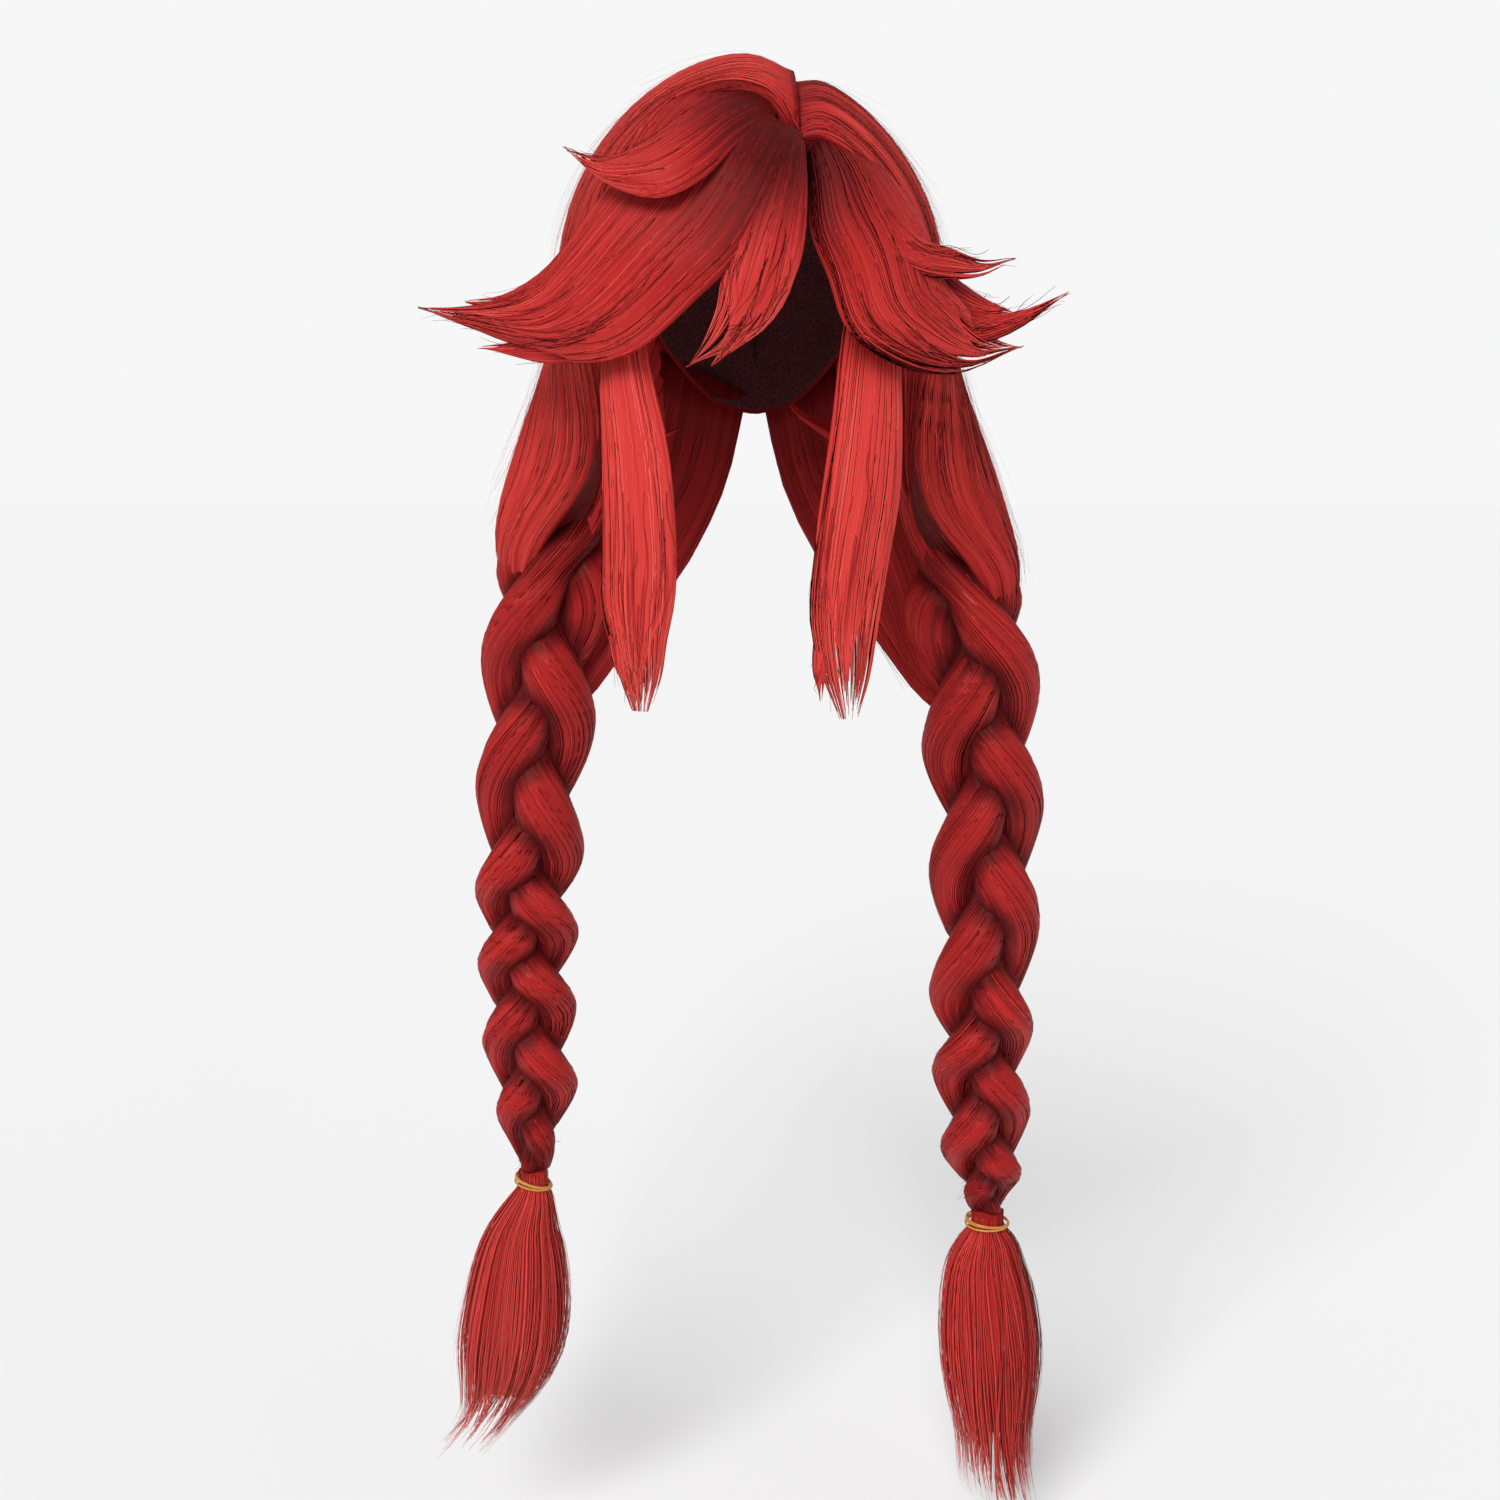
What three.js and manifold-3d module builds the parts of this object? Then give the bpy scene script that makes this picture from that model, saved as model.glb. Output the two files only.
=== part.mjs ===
import * as THREE from "three";
import Module from "manifold-3d";

const wasm = await Module();
wasm.setup();

// Head hollow and net cap
const headHalfWidth = 76;
const headHalfDepth = 95;
const headHalfHeight = 100;
const napeNarrowing = 0.22;
const napeReach = 0.8;
const capWall = 2;
const capAround = 24;
const capDown = 6;
const edgeClear = 4;
const edgeSamples = 60;

// Outer form of the hair over the cap
const crownWide = { left: 117, right: 112 };
const crownHigh = { left: 126, right: 121 };
const crownPower = { left: 1.86, right: 1.8 };
const crownFront = 111;
const crownBack = 121;
const crownFlare = 0.16;
const napeTuck = 0.3;
const leastHair = 9;
const partingDip = 7;
const partingReach = 0.1;
const partingGap = 0.35;
const partingCrowding = 1.15;
const capBite = 0.6;
const crownAcross = 10;
const crownOver = 7;
const crownHang = 4;

// Gather of the hair above a braid: shares of the braid's half width, turns in degrees, and the fall to it
const gatherWide = 0.78;
const gatherDeep = 0.7;
const outerTurn = { first: -60, sweep: 300 };
const innerTurn = { first: -64, sweep: -52 };
const fallPull = 0.45;
const fallLead = 0.7;

// Gaps between neighbouring pieces
const hairGap = 0.5;

// Proportions of a braid, as shares of its half width
const swayShare = 0.42;
const strandShare = 0.51;
const depthSwayShare = 0.32;
const depthShare = 0.47;
const bumpGain = 0.42;
const bumpMiddle = 0.6;
const frontLead = 28;
const firstPhase = 30;
const crossPhase = 120;
const strandSides = 8;
const levelsPerCross = 4;
const neckLength = 10;

// Tufts and locks
const tailSides = 12;
const tailCollar = 5;
const tailNeckDepth = 0.9;
const lockLevels = 2;
const lockSides = 8;
const slopeStep = 0.01;
const napeShift = 8;

// Elastic bands
const bandRadius = 1.2;
const bandSwell = 1.15;
const bandSides = 5;
const bandAround = 16;

const headCentre = new THREE.Vector3(0, 0, -headHalfHeight);

// Lower edge of the cap: angle from the front, and height
const capEdge = [
  { angle: 0, z: -58 },
  { angle: 30, z: -66 },
  { angle: 55, z: -104 },
  { angle: 75, z: -120 },
  { angle: 100, z: -98 },
  { angle: 130, z: -140 },
  { angle: 155, z: -170 },
  { angle: 180, z: -178 },
];

// Flow of the hair over the cap, from the front edge to the back: root on the parting, middle and hem
const crownFlowLeft = [
  { rx: 25, ry: -85, rz: -30, mx: -42, my: -96, mz: -12, hx: -100, hy: -66, hz: -112 },
  { rx: 24, ry: -45, rz: 8, mx: -62, my: -46, mz: 8, hx: -118, hy: -25, hz: -116 },
  { rx: 20, ry: 15, rz: 20, mx: -66, my: 15, mz: 6, hx: -120, hy: 22, hz: -122 },
  { rx: 9, ry: 76, rz: -8, mx: -62, my: 76, mz: -14, hx: -98, hy: 76, hz: -134 },
  { rx: 0, ry: 112, rz: -62, mx: -34, my: 108, mz: -90, hx: -62, hy: 98, hz: -160 },
  { rx: 0, ry: 104, rz: -152, mx: -16, my: 98, mz: -172, hx: -36, hy: 90, hz: -192 },
];
const crownFlowRight = [
  { rx: 25, ry: -85, rz: -30, mx: 62, my: -84, mz: -22, hx: 100, hy: -66, hz: -112 },
  { rx: 24, ry: -45, rz: 8, mx: 80, my: -44, mz: 0, hx: 118, hy: -25, hz: -116 },
  { rx: 20, ry: 15, rz: 20, mx: 82, my: 15, mz: 0, hx: 120, hy: 22, hz: -122 },
  { rx: 9, ry: 76, rz: -8, mx: 70, my: 76, mz: -18, hx: 98, hy: 76, hz: -134 },
  { rx: 0, ry: 112, rz: -62, mx: 34, my: 108, mz: -90, hx: 62, hy: 98, hz: -160 },
  { rx: 0, ry: 104, rz: -152, mx: 16, my: 98, mz: -172, hx: 36, hy: 90, hz: -192 },
];

// Braids: a row for each notch on the outer side, and the last rows for the neck under the band
const braidLeft = [
  { x: -119, y: 20, z: -215, half: 43 },
  { x: -132, y: 20, z: -296, half: 40 },
  { x: -141, y: 21, z: -377, half: 37 },
  { x: -148, y: 22, z: -460, half: 35 },
  { x: -151, y: 22, z: -515, half: 33 },
  { x: -151, y: 21, z: -566, half: 31 },
  { x: -149, y: 20, z: -623, half: 29 },
  { x: -150, y: 20, z: -679, half: 11 },
];
const braidRight = [
  { x: 123, y: 34, z: -234, half: 43 },
  { x: 141, y: 38, z: -314, half: 41 },
  { x: 151, y: 40, z: -395, half: 39 },
  { x: 155, y: 40, z: -478, half: 37 },
  { x: 155, y: 40, z: -561, half: 35 },
  { x: 156, y: 40, z: -619, half: 33 },
  { x: 159, y: 40, z: -678, half: 29 },
  { x: 162, y: 40, z: -718, half: 12.5 },
];

// Loose tufts below the bands: a row for each level
const tailLeft = [
  { x: -152, y: 19, z: -701, half: 16, deep: 12 },
  { x: -157, y: 17, z: -718, half: 24, deep: 17 },
  { x: -159, y: 15, z: -737, half: 31, deep: 20 },
  { x: -162, y: 14, z: -770, half: 37, deep: 23 },
  { x: -167, y: 13, z: -806, half: 38, deep: 22 },
  { x: -174, y: 12, z: -836, half: 30, deep: 17 },
  { x: -185, y: 12, z: -860, half: 19, deep: 11 },
  { x: -202, y: 12, z: -881, half: 3, deep: 2 },
];
const tailRight = [
  { x: 162, y: 39, z: -741, half: 21, deep: 16 },
  { x: 161, y: 37, z: -756, half: 28, deep: 20 },
  { x: 163, y: 35, z: -780, half: 34, deep: 23 },
  { x: 166, y: 34, z: -818, half: 37, deep: 24 },
  { x: 168, y: 33, z: -856, half: 33, deep: 20 },
  { x: 170, y: 33, z: -888, half: 25, deep: 15 },
  { x: 172, y: 33, z: -912, half: 15, deep: 9 },
  { x: 176, y: 33, z: -930, half: 3, deep: 2 },
];

// Locks: first edge, second edge, thickness and outward bow, a row for each section from root to tip
const fringeLeftMain = [
  { ax: 14, ay: -80, az: -24, bx: 26, by: -82, bz: -38, thick: 6, bow: 1 },
  { ax: -14, ay: -88, az: -32, bx: 14, by: -98, bz: -64, thick: 9, bow: 2 },
  { ax: -46, ay: -86, az: -42, bx: -4, by: -106, bz: -98, thick: 12, bow: 5 },
  { ax: -78, ay: -78, az: -62, bx: -30, by: -107, bz: -122, thick: 13, bow: 7 },
  { ax: -103, ay: -68, az: -88, bx: -66, by: -95, bz: -150, thick: 13, bow: 7 },
  { ax: -124, ay: -60, az: -110, bx: -100, by: -78, bz: -155, thick: 11, bow: 5 },
  { ax: -149, ay: -52, az: -119, bx: -130, by: -62, bz: -146, thick: 8, bow: 3 },
  { ax: -172, ay: -48, az: -122, bx: -163, by: -52, bz: -134, thick: 5, bow: 1 },
  { ax: -189, ay: -47, az: -122, bx: -188, by: -47, bz: -124, thick: 2, bow: 0 },
];
const fringeLeftHigh = [
  { ax: -96, ay: -64, az: -78, bx: -84, by: -84, bz: -112, thick: 10, bow: 3 },
  { ax: -118, ay: -54, az: -101, bx: -112, by: -68, bz: -124, thick: 9, bow: 2 },
  { ax: -143, ay: -48, az: -115, bx: -140, by: -56, bz: -127, thick: 6, bow: 1 },
  { ax: -165, ay: -46, az: -118, bx: -164, by: -47, bz: -120, thick: 2, bow: 0 },
];
const fringeLeftLow = [
  { ax: -84, ay: -84, az: -122, bx: -72, by: -92, bz: -150, thick: 9, bow: 2 },
  { ax: -116, ay: -66, az: -136, bx: -108, by: -74, bz: -155, thick: 8, bow: 1 },
  { ax: -138, ay: -57, az: -142, bx: -135, by: -60, bz: -151, thick: 5, bow: 1 },
  { ax: -158, ay: -53, az: -144, bx: -157, by: -53, bz: -146, thick: 2, bow: 0 },
];
const fringeTopFlick = [
  { ax: 12, ay: -88, az: -33, bx: 22, by: -90, bz: -44, thick: 6, bow: 1 },
  { ax: -8, ay: -103, az: -47, bx: 0, by: -107, bz: -62, thick: 9, bow: 1 },
  { ax: -30, ay: -109, az: -55, bx: -25, by: -113, bz: -73, thick: 10, bow: 1 },
  { ax: -52, ay: -105, az: -58, bx: -48, by: -109, bz: -76, thick: 9, bow: 1 },
  { ax: -74, ay: -95, az: -55, bx: -70, by: -98, bz: -70, thick: 8, bow: 1 },
  { ax: -90, ay: -84, az: -48, bx: -87, by: -86, bz: -57, thick: 5, bow: 0 },
  { ax: -104, ay: -73, az: -40, bx: -102, by: -73, bz: -41, thick: 2, bow: 0 },
];
const fringeCentreMain = [
  { ax: 14, ay: -80, az: -38, bx: 27, by: -80, bz: -38, thick: 6, bow: 1 },
  { ax: 4, ay: -93, az: -60, bx: 28, by: -94, bz: -64, thick: 9, bow: 2 },
  { ax: -10, ay: -102, az: -90, bx: 27, by: -102, bz: -90, thick: 11, bow: 3 },
  { ax: -18, ay: -106, az: -112, bx: 23, by: -105, bz: -108, thick: 11, bow: 3 },
  { ax: -21, ay: -108, az: -128, bx: 14, by: -107, bz: -128, thick: 9, bow: 2 },
  { ax: -28, ay: -109, az: -144, bx: -3, by: -108, bz: -145, thick: 6, bow: 1 },
  { ax: -35, ay: -109, az: -157, bx: -33, by: -109, bz: -157, thick: 2, bow: 0 },
];
const fringeCentreTip = [
  { ax: -14, ay: -107, az: -126, bx: 8, by: -107, bz: -128, thick: 8, bow: 1 },
  { ax: -17, ay: -108, az: -143, bx: -3, by: -108, bz: -144, thick: 6, bow: 1 },
  { ax: -24, ay: -109, az: -158, bx: -22, by: -109, bz: -158, thick: 2, bow: 0 },
];
const fringeRightMain = [
  { ax: 29, ay: -80, az: -42, bx: 39, by: -78, bz: -30, thick: 6, bow: 1 },
  { ax: 29, ay: -93, az: -66, bx: 62, by: -80, bz: -46, thick: 9, bow: 3 },
  { ax: 30, ay: -102, az: -90, bx: 82, by: -76, bz: -64, thick: 12, bow: 5 },
  { ax: 39, ay: -105, az: -112, bx: 96, by: -71, bz: -86, thick: 13, bow: 7 },
  { ax: 48, ay: -101, az: -136, bx: 104, by: -70, bz: -108, thick: 13, bow: 7 },
  { ax: 64, ay: -93, az: -150, bx: 114, by: -64, bz: -118, thick: 12, bow: 6 },
  { ax: 92, ay: -77, az: -160, bx: 126, by: -58, bz: -130, thick: 10, bow: 4 },
  { ax: 119, ay: -63, az: -159, bx: 138, by: -54, bz: -139, thick: 6, bow: 2 },
  { ax: 148, ay: -54, az: -146, bx: 149, by: -53, bz: -144, thick: 2, bow: 0 },
];
const fringeRightLong = [
  { ax: 92, ay: -80, az: -142, bx: 100, by: -70, bz: -114, thick: 10, bow: 3 },
  { ax: 122, ay: -62, az: -145, bx: 126, by: -56, bz: -126, thick: 8, bow: 2 },
  { ax: 152, ay: -54, az: -134, bx: 153, by: -51, bz: -124, thick: 5, bow: 1 },
  { ax: 177, ay: -50, az: -116, bx: 178, by: -50, bz: -114, thick: 2, bow: 0 },
];
const fringeRightMid = [
  { ax: 96, ay: -72, az: -120, bx: 102, by: -64, bz: -100, thick: 9, bow: 2 },
  { ax: 122, ay: -58, az: -127, bx: 126, by: -53, bz: -115, thick: 7, bow: 1 },
  { ax: 146, ay: -51, az: -126, bx: 146, by: -51, bz: -124, thick: 2, bow: 0 },
];
const fringeRightUpper = [
  { ax: 31, ay: -90, az: -50, bx: 40, by: -86, bz: -40, thick: 5, bow: 1 },
  { ax: 40, ay: -108, az: -82, bx: 56, by: -101, bz: -62, thick: 9, bow: 1 },
  { ax: 61, ay: -104, az: -100, bx: 72, by: -97, bz: -80, thick: 9, bow: 1 },
  { ax: 85, ay: -92, az: -108, bx: 91, by: -86, bz: -90, thick: 8, bow: 1 },
  { ax: 108, ay: -78, az: -110, bx: 108, by: -75, bz: -93, thick: 6, bow: 1 },
  { ax: 127, ay: -67, az: -107, bx: 126, by: -66, bz: -98, thick: 4, bow: 0 },
  { ax: 144, ay: -58, az: -98, bx: 144, by: -58, bz: -96, thick: 2, bow: 0 },
];
const sideLockLeftMain = [
  { ax: -84, ay: -56, az: -106, bx: -62, by: -72, bz: -102, thick: 7, bow: 1 },
  { ax: -88, ay: -66, az: -156, bx: -60, by: -77, bz: -152, thick: 11, bow: 1 },
  { ax: -87, ay: -74, az: -208, bx: -49, by: -82, bz: -203, thick: 14, bow: 1 },
  { ax: -87, ay: -76, az: -255, bx: -45, by: -82, bz: -254, thick: 14, bow: 1 },
  { ax: -88, ay: -76, az: -286, bx: -46, by: -82, bz: -286, thick: 12, bow: 1 },
  { ax: -82, ay: -75, az: -318, bx: -51, by: -80, bz: -311, thick: 9, bow: 1 },
  { ax: -73, ay: -75, az: -336, bx: -58, by: -78, bz: -332, thick: 5, bow: 0 },
  { ax: -67, ay: -75, az: -349, bx: -64, by: -76, bz: -349, thick: 2, bow: 0 },
];
const sideLockLeftTip = [
  { ax: -88, ay: -76, az: -282, bx: -66, by: -79, bz: -282, thick: 10, bow: 1 },
  { ax: -84, ay: -75, az: -316, bx: -70, by: -77, bz: -316, thick: 7, bow: 0 },
  { ax: -75, ay: -75, az: -342, bx: -73, by: -75, bz: -342, thick: 2, bow: 0 },
];
const sideLockRightMain = [
  { ax: 54, ay: -75, az: -102, bx: 82, by: -56, bz: -106, thick: 7, bow: 1 },
  { ax: 47, ay: -81, az: -150, bx: 82, by: -66, bz: -156, thick: 11, bow: 1 },
  { ax: 43, ay: -83, az: -185, bx: 83, by: -73, bz: -192, thick: 13, bow: 1 },
  { ax: 38, ay: -83, az: -222, bx: 82, by: -75, bz: -228, thick: 14, bow: 1 },
  { ax: 33, ay: -83, az: -262, bx: 77, by: -76, bz: -262, thick: 13, bow: 1 },
  { ax: 31, ay: -81, az: -298, bx: 72, by: -76, bz: -296, thick: 11, bow: 1 },
  { ax: 42, ay: -78, az: -330, bx: 65, by: -76, bz: -330, thick: 6, bow: 0 },
  { ax: 53, ay: -76, az: -354, bx: 56, by: -76, bz: -354, thick: 2, bow: 0 },
];
const sideLockRightTip = [
  { ax: 31, ay: -81, az: -294, bx: 50, by: -79, bz: -294, thick: 9, bow: 1 },
  { ax: 33, ay: -78, az: -324, bx: 42, by: -78, bz: -324, thick: 6, bow: 0 },
  { ax: 37, ay: -76, az: -345, bx: 39, by: -76, bz: -345, thick: 2, bow: 0 },
];
const napeLeft = [
  { ax: -62, ay: 60, az: -138, bx: -5, by: 80, bz: -164, thick: 7, bow: 3 },
  { ax: -76, ay: 62, az: -205, bx: -18, by: 82, bz: -220, thick: 10, bow: 3 },
  { ax: -90, ay: 57, az: -250, bx: -38, by: 72, bz: -264, thick: 12, bow: 3 },
  { ax: -100, ay: 50, az: -290, bx: -62, by: 58, bz: -300, thick: 14, bow: 3 },
  { ax: -112, ay: 42, az: -322, bx: -86, by: 44, bz: -332, thick: 12, bow: 2 },
  { ax: -122, ay: 34, az: -346, bx: -106, by: 34, bz: -358, thick: 6, bow: 0 },
];

function vec(x, y, z) {
  return new THREE.Vector3(x, y, z);
}

function smooth(points) {
  return new THREE.CatmullRomCurve3(points, false, "catmullrom", 0.5);
}

// A solid from points and triangles, turned so that its faces look outward
function closedSolid(points, faces) {
  const kept = faces.filter(([a, b, c]) => a !== b && b !== c && c !== a);
  let volume = 0;
  for (const [a, b, c] of kept) {
    volume += points[a].dot(vec(0, 0, 0).crossVectors(points[b], points[c]));
  }
  const triVerts = new Uint32Array(kept.length * 3);
  kept.forEach(([a, b, c], i) => triVerts.set(volume > 0 ? [a, b, c] : [a, c, b], i * 3));
  const vertProperties = new Float32Array(points.length * 3);
  points.forEach((p, i) => vertProperties.set([p.x, p.y, p.z], i * 3));
  return new wasm.Manifold(new wasm.Mesh({ numProp: 3, vertProperties, triVerts }));
}

// Skin over a row of rings, with a fan over each end
function ringSolid(rings, tip = null) {
  const size = rings[0].length;
  const points = rings.flat();
  const faces = [];
  for (let i = 0; i + 1 < rings.length; i++) {
    for (let j = 0; j < size; j++) {
      const a = i * size + j;
      const b = i * size + ((j + 1) % size);
      faces.push([a, b, b + size], [a, b + size, a + size]);
    }
  }
  for (const [ring, first, turn] of [[rings[0], 0, true], [rings.at(-1), (rings.length - 1) * size, false]]) {
    const hub = points.length;
    const middle = ring.reduce((sum, p) => sum.add(p), vec(0, 0, 0)).divideScalar(size);
    points.push(turn && tip ? tip : middle);
    for (let j = 0; j < size; j++) {
      const a = first + j;
      const b = first + ((j + 1) % size);
      faces.push(turn ? [hub, b, a] : [hub, a, b]);
    }
  }
  return closedSolid(points, faces);
}

// Thick sheet between an outer and an inner grid of points, closed along its four edges
function sheetSolid(outer, inner) {
  const rows = outer.length;
  const cols = outer[0].length;
  const points = [...outer.flat(), ...inner.flat()];
  const at = (side, i, j) => side * rows * cols + i * cols + j;
  const faces = [];
  const quad = (a, b, c, d) => faces.push([a, b, c], [a, c, d]);
  for (let i = 0; i + 1 < rows; i++) {
    for (let j = 0; j + 1 < cols; j++) {
      quad(at(0, i, j), at(0, i, j + 1), at(0, i + 1, j + 1), at(0, i + 1, j));
      quad(at(1, i, j), at(1, i + 1, j), at(1, i + 1, j + 1), at(1, i, j + 1));
    }
  }
  for (let j = 0; j + 1 < cols; j++) {
    quad(at(0, 0, j), at(1, 0, j), at(1, 0, j + 1), at(0, 0, j + 1));
    quad(at(0, rows - 1, j), at(0, rows - 1, j + 1), at(1, rows - 1, j + 1), at(1, rows - 1, j));
  }
  for (let i = 0; i + 1 < rows; i++) {
    quad(at(0, i, 0), at(0, i + 1, 0), at(1, i + 1, 0), at(1, i, 0));
    quad(at(0, i, cols - 1), at(1, i, cols - 1), at(1, i + 1, cols - 1), at(0, i + 1, cols - 1));
  }
  return closedSolid(points, faces);
}

function meshOf(solid) {
  const { vertProperties, triVerts, numProp } = solid.getMesh();
  const points = [];
  for (let i = 0; i < vertProperties.length; i += numProp) {
    points.push(vec(vertProperties[i], vertProperties[i + 1], vertProperties[i + 2]));
  }
  const faces = [];
  for (let i = 0; i < triVerts.length; i += 3) {
    faces.push([triVerts[i], triVerts[i + 1], triVerts[i + 2]]);
  }
  return { points, faces };
}

// The same solid a little fuller, for the hollow that a neighbour leaves round it
function fuller(solid, gap) {
  const { points, faces } = meshOf(solid);
  const normals = points.map(() => vec(0, 0, 0));
  for (const [a, b, c] of faces) {
    const ab = points[b].clone().sub(points[a]);
    const ac = points[c].clone().sub(points[a]);
    const normal = vec(0, 0, 0).crossVectors(ab, ac).normalize();
    for (const [i, j, k] of [[a, b, c], [b, c, a], [c, a, b]]) {
      const angle = points[j].clone().sub(points[i]).angleTo(points[k].clone().sub(points[i]));
      normals[i].addScaledVector(normal, angle);
    }
  }
  const moved = points.map((p, i) => p.clone().addScaledVector(normals[i].normalize(), gap));
  return closedSolid(moved, faces);
}

// A piece without what its neighbours fill, kept as one body
function clearOf(solid, neighbours) {
  let left = solid;
  for (const neighbour of neighbours) {
    left = left.subtract(fuller(neighbour, hairGap));
  }
  const bodies = left.decompose();
  return bodies.reduce((a, b) => (a.volume() > b.volume() ? a : b));
}

// Point on the head form: angle from the front, distance down from the top (1 at the widest level)
function headPoint(angle, down, offset) {
  const around = THREE.MathUtils.degToRad(angle);
  const dome = Math.min(down, 1) * Math.PI / 2;
  const below = Math.max(down - 1, 0);
  const share = Math.sin(dome) * (1 - napeNarrowing * (below / napeReach) ** 2);
  return vec(
    (headHalfWidth + offset) * share * Math.sin(around),
    -(headHalfDepth + offset) * share * Math.cos(around),
    headCentre.z + (headHalfHeight + offset) * Math.cos(dome) - below * headHalfHeight,
  );
}

function capEdgeDown(angle) {
  const turned = Math.abs(((angle + 180) % 360) - 180);
  const edge = smooth(capEdge.map((row) => vec(row.angle, row.z, 0)));
  const samples = edge.getPoints(edgeSamples);
  const i = Math.max(1, samples.findIndex((p) => p.x >= turned - 1e-6));
  const [a, b] = [samples[i - 1], samples[i]];
  const z = a.y + (b.y - a.y) * THREE.MathUtils.clamp((turned - a.x) / (b.x - a.x), 0, 1);
  const rise = (z - headCentre.z) / headHalfHeight;
  return rise > 0 ? Math.acos(rise) / (Math.PI / 2) : 1 - rise;
}

function capRings(offset) {
  const rings = [];
  for (let i = 1; i <= capDown; i++) {
    const ring = [];
    for (let j = 0; j < capAround; j++) {
      const angle = 360 * j / capAround;
      ring.push(headPoint(angle, capEdgeDown(angle) * i / capDown, offset));
    }
    rings.push(ring);
  }
  return rings;
}

// Net cap: outer and inner skins joined along the lower edge
function capSolid() {
  const outer = capRings(capWall);
  const inner = capRings(0);
  const points = [headPoint(0, 0, capWall), ...outer.flat(), headPoint(0, 0, 0), ...inner.flat()];
  const start = capAround * capDown + 1;
  const faces = [];
  for (const [hub, turn] of [[0, false], [start, true]]) {
    const face = (a, b, c) => faces.push(turn ? [a, c, b] : [a, b, c]);
    for (let j = 0; j < capAround; j++) {
      const next = (j + 1) % capAround;
      face(hub, hub + 1 + j, hub + 1 + next);
      for (let i = 0; i + 1 < capDown; i++) {
        const a = hub + 1 + i * capAround;
        const b = a + capAround;
        face(a + j, b + j, b + next);
        face(a + j, b + next, a + next);
      }
    }
  }
  const rim = 1 + (capDown - 1) * capAround;
  for (let j = 0; j < capAround; j++) {
    const next = (j + 1) % capAround;
    faces.push([rim + j, start + rim + j, start + rim + next], [rim + j, start + rim + next, rim + next]);
  }
  return closedSolid(points, faces);
}

// The whole form inside the cap's outer skin and a little below its edge, with clearance
function capForm() {
  const offset = capWall + hairGap;
  const rings = capRings(offset);
  const below = rings.at(-1).map((p) => p.clone().add(vec(0, 0, -edgeClear)));
  return ringSolid([...rings, below], headPoint(0, 0, offset));
}

// Distance from the head's centre to the outer face of the hair, along a direction
function crownReach(way, side) {
  const name = side < 0 ? "left" : "right";
  const deep = way.y < 0 ? crownFront : crownBack;
  const level = Math.hypot(way.x / crownWide[name], way.y / deep);
  const power = crownPower[name];
  if (way.z >= 0) {
    return (level ** power + (way.z / crownHigh[name]) ** power) ** (-1 / power);
  }
  const spread = Math.hypot(way.x, way.y);
  const flare = way.y > 0 ? THREE.MathUtils.lerp(crownFlare, -napeTuck, (way.y / spread) ** 2) : crownFlare;
  return (1 + flare * -way.z / crownWide[name] / level) / level;
}

function capReach(way) {
  const wide = headHalfWidth + capWall;
  const deep = headHalfDepth + capWall;
  const level = Math.hypot(way.x / wide, way.y / deep);
  if (way.z >= 0) {
    return 1 / Math.hypot(level, way.z / (headHalfHeight + capWall));
  }
  return 1 / level;
}

// Where hair enters the braid: a ring of points round the top of the braid
function gatherPoint(top, side, turn) {
  const around = THREE.MathUtils.degToRad(turn);
  const wide = top.half * gatherWide;
  const deep = top.half * gatherDeep;
  return vec(top.x + side * wide * Math.sin(around), top.y - deep * Math.cos(around), top.z);
}

// Hair of one side: over the cap from the parting to the hem, then hanging to the braid
function crownSolid(flow, top, side) {
  const roots = smooth(flow.map((row) => vec(row.rx, row.ry, row.rz)));
  const middles = smooth(flow.map((row) => vec(row.mx, row.my, row.mz)));
  const hems = smooth(flow.map((row) => vec(row.hx, row.hy, row.hz)));
  const outer = [];
  const inner = [];
  for (let i = 0; i <= crownOver + crownHang; i++) {
    outer.push([]);
    inner.push([]);
  }
  for (let j = 0; j < crownAcross; j++) {
    const share = j / (crownAcross - 1);
    const root = roots.getPoint(share).sub(headCentre);
    const middle = middles.getPoint(share).sub(headCentre);
    const hem = hems.getPoint(share).sub(headCentre);
    const bend = new THREE.QuadraticBezierCurve3(root, middle, hem);
    for (let i = 0; i <= crownOver; i++) {
      const down = (i / crownOver) ** partingCrowding;
      const way = bend.getPoint(down).normalize();
      const dip = partingDip * Math.exp(-((down / partingReach) ** 2));
      const shift = i === 0 ? vec(side * partingGap, 0, 0) : vec(0, 0, 0);
      const far = crownReach(way, side) - dip;
      const near = Math.min(capReach(way) - capBite, far - leastHair);
      outer[i].push(way.clone().multiplyScalar(far).add(headCentre).add(shift));
      inner[i].push(way.clone().multiplyScalar(near).add(headCentre).add(shift));
    }
    const ends = [
      [outer, gatherPoint(top, side, outerTurn.first + outerTurn.sweep * share)],
      [inner, gatherPoint(top, side, innerTurn.first + innerTurn.sweep * share)],
    ];
    for (const [grid, end] of ends) {
      const start = grid[crownOver][j];
      const lead = start.clone().sub(grid[crownOver - 1][j]).normalize();
      const drop = start.distanceTo(end) * fallPull;
      const fall = new THREE.CubicBezierCurve3(
        start,
        start.clone().addScaledVector(lead, drop * fallLead),
        end.clone().add(vec(0, 0, drop)),
        end,
      );
      for (let i = 1; i <= crownHang; i++) {
        grid[crownOver + i].push(fall.getPoint(i / crownHang));
      }
    }
  }
  return sheetSolid(outer, inner);
}

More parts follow.
